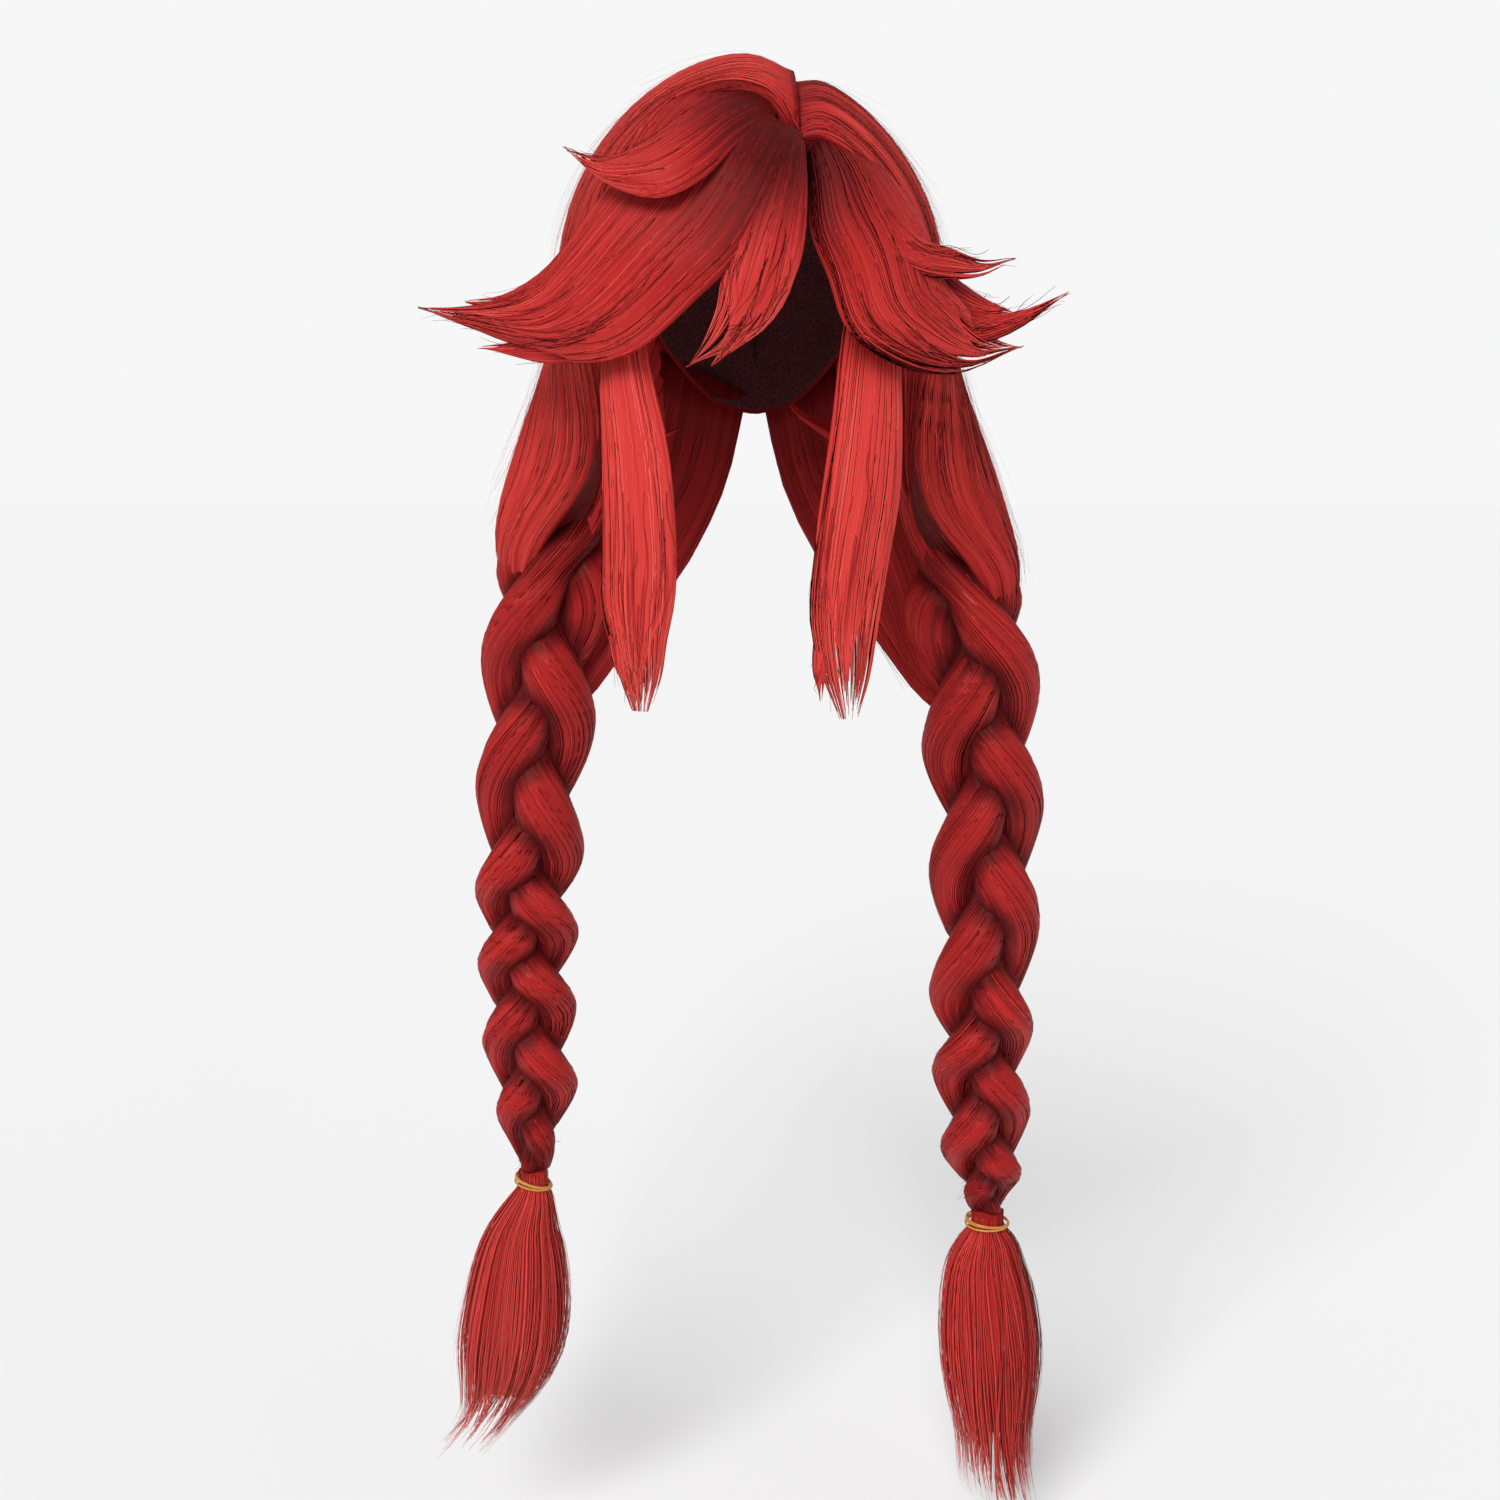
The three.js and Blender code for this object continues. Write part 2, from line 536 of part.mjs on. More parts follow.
// Flat lock swept between two edges, thick in the middle and pointed at the tip
function lockSolid(rows) {
  const first = smooth(rows.map((row) => vec(row.ax, row.ay, row.az)));
  const second = smooth(rows.map((row) => vec(row.bx, row.by, row.bz)));
  const build = smooth(rows.map((row) => vec(row.thick, row.bow, 0)));
  const count = (rows.length - 1) * lockLevels;
  const middle = (share) => first.getPoint(share).add(second.getPoint(share)).multiplyScalar(0.5);
  const rings = [];
  for (let i = 0; i <= count; i++) {
    const share = i / count;
    const across = second.getPoint(share).sub(first.getPoint(share)).multiplyScalar(0.5);
    const centre = middle(share);
    const along = middle(Math.min(share + slopeStep, 1)).sub(middle(Math.max(share - slopeStep, 0)));
    const outward = vec(0, 0, 0).crossVectors(across, along).normalize();
    if (outward.dot(vec(centre.x, centre.y, 0)) < 0) {
      outward.negate();
    }
    const { x: thick, y: bow } = build.getPoint(share);
    const ring = [];
    for (let j = 0; j < lockSides; j++) {
      const turn = 2 * Math.PI * j / lockSides;
      const rise = thick / 2 * Math.sin(turn) + bow * Math.sin(turn) ** 2;
      ring.push(centre.clone().addScaledVector(across, Math.cos(turn)).addScaledVector(outward, rise));
    }
    rings.push(ring);
  }
  return ringSolid(rings);
}

function locks(...tables) {
  return tables.map((rows) => lockSolid(rows)).reduce((a, b) => a.add(b));
}

function mirrored(rows, shift) {
  return rows.map((row) => ({ ...row, ax: -row.ax, bx: -row.bx, ay: row.ay + shift, by: row.by + shift }));
}

// One strand of a braid: an oval section that sways from side to side and from front to back
function strandSolid(rows, side, index) {
  const path = smooth(rows.map((row) => vec(row.x, row.y, row.z)));
  const halves = smooth(rows.map((row) => vec(row.half, 0, 0)));
  const count = (rows.length - 1) * levelsPerCross;
  const lead = THREE.MathUtils.degToRad(frontLead);
  const rings = [];
  for (let i = 0; i <= count; i++) {
    const centre = path.getPoint(i / count);
    const half = halves.getPoint(i / count).x;
    const phase = THREE.MathUtils.degToRad(firstPhase + crossPhase * (i / levelsPerCross + index));
    const swell = half * (1 + bumpGain * (Math.abs(Math.sin(phase)) - bumpMiddle));
    centre.x += side * swayShare * half * Math.sin(phase);
    centre.y -= depthSwayShare * half * Math.sin(2 * phase + lead);
    const ring = [];
    for (let j = 0; j < strandSides; j++) {
      const turn = 2 * Math.PI * j / strandSides;
      ring.push(centre.clone().add(vec(
        side * strandShare * swell * Math.cos(turn),
        depthShare * swell * Math.sin(turn),
        0,
      )));
    }
    rings.push(ring);
  }
  rings[0] = rings[0].map((p) => p.clone().add(vec(0, 0, -hairGap)));
  rings.push(rings.at(-1).map((p) => p.clone().add(vec(0, 0, -neckLength))));
  return ringSolid(rings);
}

// Three strands pressed together along their whole length
function braidSolid(rows, side) {
  return [0, 1, 2].map((index) => strandSolid(rows, side, index)).reduce((a, b) => a.add(b));
}

// Tuft below a band, starting at the neck of the braid
function tailSolid(rows, neck) {
  const top = neck.z - neckLength - hairGap;
  const wide = neck.half * (swayShare + strandShare);
  const deep = neck.half * (depthSwayShare * tailNeckDepth + depthShare);
  const start = [
    { x: neck.x, y: neck.y, z: top, half: wide, deep },
    { x: neck.x, y: neck.y, z: top - tailCollar, half: wide, deep },
  ];
  const all = [...start, ...rows];
  const path = smooth(all.map((row) => vec(row.x, row.y, row.z)));
  const sizes = smooth(all.map((row) => vec(row.half, row.deep, 0)));
  const count = all.length - 1;
  const rings = [];
  for (let i = 0; i <= count; i++) {
    const centre = path.getPoint(i / count);
    const size = sizes.getPoint(i / count);
    const ring = [];
    for (let j = 0; j < tailSides; j++) {
      const turn = 2 * Math.PI * j / tailSides;
      ring.push(centre.clone().add(vec(size.x * Math.cos(turn), size.y * Math.sin(turn), 0)));
    }
    rings.push(ring);
  }
  return ringSolid(rings);
}

const hairMaterial = new THREE.MeshStandardMaterial({ color: 0xb02a2c, roughness: 0.5, metalness: 0 });
const capMaterial = new THREE.MeshStandardMaterial({ color: 0x4a1216, roughness: 0.85, metalness: 0 });
const bandMaterial = new THREE.MeshStandardMaterial({ color: 0xc67c28, roughness: 0.45, metalness: 0 });

const wig = new THREE.Group();

function place(name, solid, material) {
  const { vertProperties, triVerts } = solid.getMesh();
  const geometry = new THREE.BufferGeometry();
  geometry.setAttribute("position", new THREE.BufferAttribute(new Float32Array(vertProperties), 3));
  geometry.setIndex(new THREE.BufferAttribute(new Uint32Array(triVerts), 1));
  geometry.computeVertexNormals();
  const mesh = new THREE.Mesh(geometry, material);
  mesh.name = name;
  wig.add(mesh);
}

// Elastic band round the neck of a braid
function placeBand(name, neck, tilt, clear) {
  const wide = neck.half * (swayShare + strandShare * bandSwell) + clear + bandRadius;
  const deep = neck.half * (depthSwayShare + depthShare) + clear + bandRadius;
  const geometry = new THREE.TorusGeometry(wide, bandRadius, bandSides, bandAround);
  geometry.scale(1, deep / wide, 1);
  const band = new THREE.Mesh(geometry, bandMaterial);
  band.name = name;
  band.position.set(neck.x, neck.y, neck.z - neckLength);
  band.rotation.y = THREE.MathUtils.degToRad(tilt);
  wig.add(band);
}

place("cap", capSolid(), capMaterial);

// Hair over the cap
const inside = capForm();
const crownLeft = crownSolid(crownFlowLeft, braidLeft[0], -1).subtract(inside);
const crownRight = crownSolid(crownFlowRight, braidRight[0], 1).subtract(inside);
place("crown_hair_left", crownLeft, hairMaterial);
place("crown_hair_right", crownRight, hairMaterial);

// Braids with their bands and tufts
const sides = [
  { name: "left", rows: braidLeft, tail: tailLeft, side: -1, tilt: 14, clear: 0.2 },
  { name: "right", rows: braidRight, tail: tailRight, side: 1, tilt: 2, clear: 1.1 },
];
const braids = {};
for (const { name, rows, tail, side, tilt, clear } of sides) {
  braids[name] = braidSolid(rows, side);
  place(`braid_${name}`, braids[name], hairMaterial);
  placeBand(`tie_${name}`, rows.at(-1), tilt, clear);
  place(`tail_${name}`, tailSolid(tail, rows.at(-1)), hairMaterial);
}

// Under layer at the nape
const napeLeftHair = clearOf(lockSolid(napeLeft).subtract(inside), [crownLeft, braids.left]);
const napeRight = mirrored(napeLeft, napeShift);
const napeRightHair = clearOf(lockSolid(napeRight).subtract(inside), [crownRight, braids.right]);
place("nape_hair_left", napeLeftHair, hairMaterial);
place("nape_hair_right", napeRightHair, hairMaterial);

// Fringe, from the layer next to the brow outward
const crowns = [crownLeft, crownRight];
const fringeCentre = clearOf(locks(fringeCentreMain, fringeCentreTip).subtract(inside), crowns);
const fringeLeftAll = locks(fringeLeftMain, fringeLeftHigh, fringeLeftLow).subtract(inside);
const fringeLeft = clearOf(fringeLeftAll, [...crowns, fringeCentre]);
const fringeRightAll = locks(fringeRightMain, fringeRightLong, fringeRightMid).subtract(inside);
const fringeRight = clearOf(fringeRightAll, [...crowns, fringeCentre]);
const topFlickAll = lockSolid(fringeTopFlick).subtract(inside);
const topFlick = clearOf(topFlickAll, [...crowns, fringeCentre, fringeLeft]);
const upperFlickAll = lockSolid(fringeRightUpper).subtract(inside);
const upperFlick = clearOf(upperFlickAll, [...crowns, fringeCentre, fringeRight]);
place("fringe_centre", fringeCentre, hairMaterial);
place("fringe_left", fringeLeft, hairMaterial);
place("fringe_right", fringeRight, hairMaterial);
place("fringe_top_flick", topFlick, hairMaterial);
place("fringe_right_upper", upperFlick, hairMaterial);

// Straight locks beside the face
const sideLeftAll = locks(sideLockLeftMain, sideLockLeftTip).subtract(inside);
const sideRightAll = locks(sideLockRightMain, sideLockRightTip).subtract(inside);
place("side_lock_left", clearOf(sideLeftAll, [...crowns, fringeLeft]), hairMaterial);
place("side_lock_right", clearOf(sideRightAll, [...crowns, fringeRight]), hairMaterial);

export default wig;
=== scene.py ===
import math
import bpy
import numpy as np
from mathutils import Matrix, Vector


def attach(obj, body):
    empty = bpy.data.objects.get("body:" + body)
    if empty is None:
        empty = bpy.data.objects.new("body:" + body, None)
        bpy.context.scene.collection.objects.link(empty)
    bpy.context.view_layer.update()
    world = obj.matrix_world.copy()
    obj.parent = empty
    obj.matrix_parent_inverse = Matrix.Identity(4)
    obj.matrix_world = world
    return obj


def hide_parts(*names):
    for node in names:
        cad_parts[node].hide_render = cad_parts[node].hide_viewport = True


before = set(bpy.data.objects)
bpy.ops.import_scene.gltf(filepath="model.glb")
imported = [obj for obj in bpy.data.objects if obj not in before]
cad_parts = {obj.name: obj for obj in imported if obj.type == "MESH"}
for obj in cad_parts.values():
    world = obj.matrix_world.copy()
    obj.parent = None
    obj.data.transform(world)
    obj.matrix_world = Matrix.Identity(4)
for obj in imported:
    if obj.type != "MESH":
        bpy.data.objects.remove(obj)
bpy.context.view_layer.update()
mm = 0.001


def newFinish(name):
    finish = bpy.data.materials.new(name)
    finish.use_nodes = True
    return finish, finish.node_tree, finish.node_tree.nodes["Principled BSDF"]


def setInputs(node, values):
    for key, value in values.items():
        node.inputs[key].default_value = value


def addNode(tree, kind, values):
    node = tree.nodes.new("ShaderNode" + kind)
    setInputs(node, values)
    return node


def addRamp(tree, stops):
    ramp = addNode(tree, "ValToRGB", {})
    for end in (0, -1):
        ramp.color_ramp.elements[end].position = stops[end][0]
        ramp.color_ramp.elements[end].color = (*stops[end][1], 1)
    for place, colour in stops[1:-1]:
        stop = ramp.color_ramp.elements.new(place)
        stop.color = (*colour, 1)
    return ramp


# Camera, light and floor
view = {"place": (-0.003, -0.98, -0.217), "tilt": 80.08, "lens": 37.68, "sensor": 36}
studio = {
    "floorLevel": -0.965,
    "floorSize": 80,
    "paint": (0.95, 0.95, 0.955, 1),
    "backdrop": 0.93,
    "ambient": 0.4,
    "sunAway": 3,
}
suns = [
    {"name": "keySun", "comesFrom": (-0.3, -0.72, 0.62), "soft": 35, "strength": 2.55},
    {"name": "fillSun", "comesFrom": (0.8, -0.5, 0.35), "soft": 60, "strength": 0.45},
]


def placeCamera():
    turn = (math.radians(view["tilt"]), 0, 0)
    bpy.ops.object.camera_add(location=view["place"], rotation=turn)
    camera = bpy.context.object
    camera.data.lens = view["lens"]
    camera.data.sensor_width = view["sensor"]
    bpy.context.scene.camera = camera


def lightStudio():
    for sun in suns:
        way = Vector(sun["comesFrom"])
        bpy.ops.object.light_add(type="SUN", location=way * studio["sunAway"])
        light = bpy.context.object
        light.name = sun["name"]
        light.data.energy = sun["strength"]
        light.data.angle = math.radians(sun["soft"])
        light.rotation_euler = way.to_track_quat("Z", "Y").to_euler()
    world = bpy.data.worlds.new("paleRoom")
    world.use_nodes = True
    tree = world.node_tree
    background = tree.nodes["Background"]
    setInputs(background, {"Color": (1, 1, 1, 1)})
    ray = addNode(tree, "LightPath", {})
    # Bright backdrop, softer light from it
    level = addNode(tree, "Math", {1: studio["backdrop"] - studio["ambient"], 2: studio["ambient"]})
    level.operation = "MULTIPLY_ADD"
    tree.links.new(ray.outputs["Is Camera Ray"], level.inputs[0])
    tree.links.new(level.outputs["Value"], background.inputs["Strength"])
    bpy.context.scene.world = world
    bpy.context.scene.view_settings.view_transform = "Standard"


def layFloor():
    bpy.ops.object.select_all(action="DESELECT")
    bpy.ops.mesh.primitive_plane_add(size=studio["floorSize"], location=(0, 0, studio["floorLevel"]))
    floor = bpy.context.object
    floor.name = "floor"
    paint, _, shader = newFinish("palePaint")
    setInputs(shader, {"Base Color": studio["paint"], "Roughness": 1, "Specular IOR Level": 0})
    floor.data.materials.append(paint)


placeCamera()
lightStudio()
layFloor()
print("studio ready")


# Finishes
hairColours = [
    (0.00, (0.050, 0.003, 0.004)),
    (0.25, (0.165, 0.007, 0.009)),
    (0.50, (0.390, 0.019, 0.018)),
    (0.75, (0.605, 0.046, 0.040)),
    (1.00, (0.790, 0.105, 0.085)),
]
# Streaks across and along a ribbon, per millimetre, and how far they change the shade
fibre = {
    "fineStreak": (0.62, 0.006, 0.0),
    "fineDetail": 3,
    "fineTone": 0.58,
    "broadStreak": (0.22, 0.004, 0.0),
    "broadDetail": 1,
    "broadTone": 0.2,
    "streakRoughness": 0.65,
    "bump": 0.4,
    "bumpDeep": 0.25,
    "roughness": 0.44,
    "specular": 0.19,
    "sheenColour": (1.0, 0.34, 0.28),
    "brushed": 0.75,
    "fuzz": 0.12,
    "fuzzRoughness": 0.6,
    "fuzzColour": (1.0, 0.08, 0.06),
}


def addStreak(tree, source, scale, detail):
    stretch = addNode(tree, "Mapping", {"Scale": scale})
    streak = addNode(tree, "TexNoise", {"Scale": 1, "Detail": detail, "Roughness": fibre["streakRoughness"]})
    tree.links.new(source, stretch.inputs["Vector"])
    tree.links.new(stretch.outputs["Vector"], streak.inputs["Vector"])
    return streak.outputs["Fac"]


def addScaled(tree, value, gain, onto):
    step = addNode(tree, "Math", {1: gain})
    step.operation = "MULTIPLY_ADD"
    tree.links.new(value, step.inputs[0])
    tree.links.new(onto, step.inputs[2])
    return step.outputs["Value"]


# Red fibre: each ribbon carries its own shade, painted shade and light included, with fine and broad streaks
# along it
def fibreFinish():
    finish, tree, shader = newFinish("redFibre")
    tone = addNode(tree, "Attribute", {})
    tone.attribute_name = "tone"
    run = addNode(tree, "Attribute", {})
    run.attribute_name = "run"
    fine = addStreak(tree, run.outputs["Vector"], fibre["fineStreak"], fibre["fineDetail"])
    broad = addStreak(tree, run.outputs["Vector"], fibre["broadStreak"], fibre["broadDetail"])
    shade = addScaled(tree, fine, fibre["fineTone"], tone.outputs["Fac"])
    shade = addScaled(tree, broad, fibre["broadTone"], shade)
    ramp = addRamp(tree, hairColours)
    bump = addNode(tree, "Bump", {"Strength": fibre["bump"], "Distance": fibre["bumpDeep"] * mm})
    combed = addNode(tree, "Tangent", {})
    combed.direction_type = "UV_MAP"
    combed.uv_map = "OFBake"
    tree.links.new(shade, ramp.inputs["Fac"])
    tree.links.new(fine, bump.inputs["Height"])
    tree.links.new(ramp.outputs["Color"], shader.inputs["Base Color"])
    tree.links.new(bump.outputs["Normal"], shader.inputs["Normal"])
    tree.links.new(combed.outputs["Tangent"], shader.inputs["Tangent"])
    setInputs(shader, {
        "Roughness": fibre["roughness"],
        "Specular IOR Level": fibre["specular"],
        "Specular Tint": (*fibre["sheenColour"], 1),
        "Anisotropic": fibre["brushed"],
        "Sheen Weight": fibre["fuzz"],
        "Sheen Roughness": fibre["fuzzRoughness"],
        "Sheen Tint": (*fibre["fuzzColour"], 1),
    })
    return finish


redFibre = fibreFinish()


# Smooth curve through the rows of a table, shares run from 0 to 1 and a little past
def smoothLine(rows, shares):
    rows = np.asarray(rows, float)
    last = len(rows) - 1
    spot = np.asarray(shares, float) * last
    step = np.clip(spot.astype(int), 0, last - 1)
    part = (spot - step)[..., None]
    wide = np.vstack([2 * rows[0] - rows[1], rows, 2 * rows[-1] - rows[-2]])
    before, start, end, after = (wide[step + i] for i in range(4))
    lead = (end - before) / 2
    leave = (after - start) / 2
    square = 3 * (end - start) - 2 * lead - leave
    cube = 2 * (start - end) + lead + leave
    return start + part * (lead + part * (square + part * cube))


def unit(vectors):
    return vectors / np.maximum(np.linalg.norm(vectors, axis=-1, keepdims=True), 1e-9)


# Slow random wave, for locks that lie a little higher or lower than their neighbours
def drift(chance, places, slowest, fastest, waves=7):
    total = 0
    for _ in range(waves):
        total = total + np.sin(2 * math.pi * (chance.uniform(slowest, fastest) * places + chance.uniform()))
    return total / math.sqrt(waves)


def easeIn(values, low, high):
    share = np.clip((values - low) / (high - low), 0, 1)
    return share * share * (3 - 2 * share)


# Points and outward ways round an oval tube
def tubePoints(wide, deep, way):
    return np.stack([wide * np.cos(way), deep * np.sin(way), 0 * way], axis=-1)


def tubeFacing(wide, deep, way):
    return unit(np.stack([np.cos(way) / wide, np.sin(way) / deep, 0 * way], axis=-1))


def gather(made, **parts):
    for key, part in parts.items():
        made.setdefault(key, []).append(part)


def flat(parts, kind=np.float32):
    return np.concatenate(parts).astype(kind).ravel()


# Joined mesh of four-sided and three-sided faces, with the shade and run of its hair
def hairPiece(name, node, made, runsOn):
    quads, fans = (np.concatenate(made[key]) for key in ("quads", "fans"))
    starts = np.concatenate([np.arange(len(quads)) * 4, len(quads) * 4 + np.arange(len(fans)) * 3])
    mesh = bpy.data.meshes.new(name)
    mesh.vertices.add(sum(len(part) for part in made["places"]))
    mesh.vertices.foreach_set("co", flat(made["places"]))
    mesh.loops.add(quads.size + fans.size)
    mesh.loops.foreach_set("vertex_index", flat([quads.ravel(), fans.ravel()], np.int32))
    mesh.polygons.add(len(starts))
    mesh.polygons.foreach_set("loop_start", starts.astype(np.int32))
    mesh.update(calc_edges=True)
    tone = mesh.attributes.new("tone", "FLOAT", "POINT")
    tone.data.foreach_set("value", flat(made["tones"]))
    run = mesh.attributes.new("run", "FLOAT_VECTOR", runsOn)
    run.data.foreach_set("vector", flat(made["runs"]))
    layer = mesh.uv_layers.new(name="OFBake")
    layer.data.foreach_set("uv", flat(made["quadMaps"] + made["fanMaps"]))
    if "quadNormals" in made:
        soft = mesh.attributes.new("custom_normal", "FLOAT_VECTOR", "CORNER")
        soft.data.foreach_set("vector", flat(made["quadNormals"] + made["fanNormals"]))
    piece = bpy.data.objects.new(name, mesh)
    bpy.context.scene.collection.objects.link(piece)
    mesh.materials.append(redFibre)
    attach(piece, "root")
    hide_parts(node)
    print(name, "triangles", len(quads) * 2 + len(fans))


# Hair in ribbons: closed strips of three sides along rows of points, all in millimetres
# Each ribbon is set a little lighter than the combed mass beneath it: a painted highlight on the top hairs
ribbon = {"ridge": 0.12, "base": 0.1, "apart": 7.3, "paintedHighlight": 0.06, "spread": (0.75, 1.25)}
# Each ribbon's box on the map: margins across and along, and the corners of the two ends in the margins
ribbonBox = {
    "across": 0.06,
    "along": 0.12,
    "ends": [[[0.1, 0.01], [0.9, 0.01], [0.5, 0.09]], [[0.1, 0.99], [0.9, 0.99], [0.5, 0.91]]],
}


def fibreRings(points, outward, width):
    along = unit(np.gradient(points, axis=1))
    out = unit(outward - along * (outward * along).sum(-1, keepdims=True))
    across = np.cross(along, out)
    half = (width / 2)[..., None]
    ridge = points + half * ribbon["ridge"] * out
    near = points + half * (across - ribbon["base"] * out)
    far = points - half * (across + ribbon["base"] * out)
    return np.stack([ridge, near, far], axis=2), along, out, across


def fibreFaces(count, steps, first):
    corner = first + np.arange(count * steps * 3).reshape(count, steps, 3)
    ahead = np.roll(corner, -1, axis=2)
    sides = np.stack([corner[:, :-1], ahead[:, :-1], ahead[:, 1:], corner[:, 1:]], axis=-1)
    ends = np.stack([corner[:, 0, ::-1], corner[:, -1]], axis=1)
    return sides.reshape(-1, 4), ends.reshape(-1, 3)


# Normals that are smooth along a ribbon and keep its ridge
def fibreNormals(along, out, across):
    slope = (ribbon["ridge"] + ribbon["base"]) * across
    ways = [unit(out + slope), -out, unit(out - slope)]
    sides = [np.stack([way[:, :-1], way[:, :-1], way[:, 1:], way[:, 1:]], axis=2) for way in ways]
    ends = np.stack([-along[:, 0], along[:, -1]], axis=1)
    return np.stack(sides, axis=2).reshape(-1, 3), np.repeat(ends[:, :, None], 3, axis=2).reshape(-1, 3)


# Sides of each ribbon unrolled in a box of its own on the map
def fibreMap(count, steps, firstCell, cellsAcross):
    cell = firstCell + np.arange(count)
    low = np.stack([cell % cellsAcross, cell // cellsAcross], axis=-1)[:, None, None, None, :]
    i = np.arange(steps - 1)[None, :, None]
    j = np.arange(3)[None, None, :]
    down = [i, i, i + 1, i + 1]
    over = [j, j + 1, j + 1, j]
    places = []
    sideEdge, endEdge = ribbonBox["across"], ribbonBox["along"]
    for a, b in zip(over, down):
        u = np.broadcast_to(sideEdge + (1 - 2 * sideEdge) * a / 3, (1, steps - 1, 3))
        v = np.broadcast_to(endEdge + (1 - 2 * endEdge) * b / (steps - 1), (1, steps - 1, 3))
        places.append(np.stack([u, v], axis=-1))
    sides = (low + np.stack(places, axis=3)) / cellsAcross
    ends = (low[:, 0] + np.array(ribbonBox["ends"])[None]) / cellsAcross
    return sides.reshape(-1, 2), ends.reshape(-1, 2)


# Place of each corner across and along its own ribbon, for the streaks
def fibreRun(points, width, firstCell):
    length = np.linalg.norm(np.diff(points, axis=1), axis=-1)
    along = np.concatenate([np.zeros((len(points), 1)), np.cumsum(length, axis=1)], axis=1)
    start = ribbon["apart"] * (firstCell + np.arange(len(points)))[:, None]
    across = np.stack([start + 0 * width, start + width / 2, start - width / 2], axis=-1)
    return np.stack([across, np.repeat(along[..., None], 3, axis=2), 0 * across], axis=-1)


def fibrePiece(name, node, batches):
    cells = sum(len(batch["points"]) for batch in batches)
    cellsAcross = math.ceil(math.sqrt(cells))
    made = {}
    first = 0
    cell = 0
    for batch in batches:
        points, width = batch["points"], batch["width"]
        count, steps = points.shape[:2]
        rings, *ways = fibreRings(points, batch["outward"], width)
        tones = np.repeat(batch["tone"].reshape(-1), 3) + ribbon["paintedHighlight"]
        runs = fibreRun(points, width, cell).reshape(-1, 3)
        gather(made, places=rings.reshape(-1, 3) * mm, tones=tones, runs=runs)
        quads, fans = fibreFaces(count, steps, first)
        quadMaps, fanMaps = fibreMap(count, steps, cell, cellsAcross)
        quadNormals, fanNormals = fibreNormals(*ways)
        gather(made, quads=quads, fans=fans, quadMaps=quadMaps, fanMaps=fanMaps)
        gather(made, quadNormals=quadNormals, fanNormals=fanNormals)
        first += count * steps * 3
        cell += count
    hairPiece(name, node, made, "POINT")


# Combed mass of hair: closed shells of rings from root to tip, grooved along the flow of the hair
comb = {
    "broad": 1 / 17,
    "broadDeep": 0.5,
    "broadWaves": (0.5, 1.5),
    "fine": 1 / 5,
    "fineDeep": 0.2,
    "fineWaves": (0.6, 1.6),
    "wander": 0.24,
    "wanderRun": (90, 160),
    "wanderWaves": (0.5, 2),
    "apart": 900,
    "endRun": 20,
}
# Each shell's strip of the map: margin at its sides, its first and last rings, and the middles of its ends
shellStrip = {"side": 0.02, "rings": (0.03, 0.97), "hubs": (0.005, 0.995)}


# Grooves for places across and along the hair, in millimetres
def combGrooves(chance, across, along):
    acrossRun, alongRun = comb["wanderRun"]
    places = across[:, None] / acrossRun + along[None] / alongRun
    drifted = across[:, None] + comb["wander"] * drift(chance, places, *comb["wanderWaves"])
    broad = drift(chance, drifted * comb["broad"], *comb["broadWaves"])
    fine = drift(chance, drifted * comb["fine"], *comb["fineWaves"])
    return comb["broadDeep"] * broad + comb["fineDeep"] * fine


def shellRuns(points):
    middle = points[:, points.shape[1] // 2]
    across = np.concatenate([[0], np.linalg.norm(np.roll(middle, -1, axis=0) - middle, axis=-1).cumsum()])
    length = np.linalg.norm(np.diff(points, axis=1), axis=-1).mean(axis=0)
    return across, np.concatenate([[0], length.cumsum()])


def shellFaces(ring, steps, first):
    corner = first + np.arange(ring * steps).reshape(ring, steps)
    ahead = np.roll(corner, -1, axis=0)
    quads = np.stack([corner[:, :-1], ahead[:, :-1], ahead[:, 1:], corner[:, 1:]], axis=-1).reshape(-1, 4)
    hub = first + ring * steps
    root = np.stack([ahead[:, 0], corner[:, 0], np.full(ring, hub)], axis=-1)
    tip = np.stack([corner[:, -1], ahead[:, -1], np.full(ring, hub + 1)], axis=-1)
    return quads, np.concatenate([root, tip])


# Values at the corners of a shell's faces: across runs on past the last corner of the ring
def shellCorners(across, along, hubs):
    i = np.arange(len(along) - 1)[None, :]
    j = np.arange(len(across) - 1)[:, None]
    blank = np.zeros((len(across) - 1, len(along) - 1))
    cornersAt = [(j, i), (j + 1, i), (j + 1, i + 1), (j, i + 1)]
    quads = np.stack([np.stack([across[a] + blank, along[b] + blank], axis=-1) for a, b in cornersAt], axis=2)
    low, high = across[:-1], across[1:]
    ends = []
    for place, hub, order in ((along[0], hubs[0], (high, low)), (along[-1], hubs[1], (low, high))):
        rim = [np.stack([value, np.full(len(low), place)], axis=-1) for value in order]
        ends.append(np.stack([*rim, np.stack([(low + high) / 2, np.full(len(low), hub)], axis=-1)], axis=1))
    return quads.reshape(-1, 2), np.concatenate(ends).reshape(-1, 2)


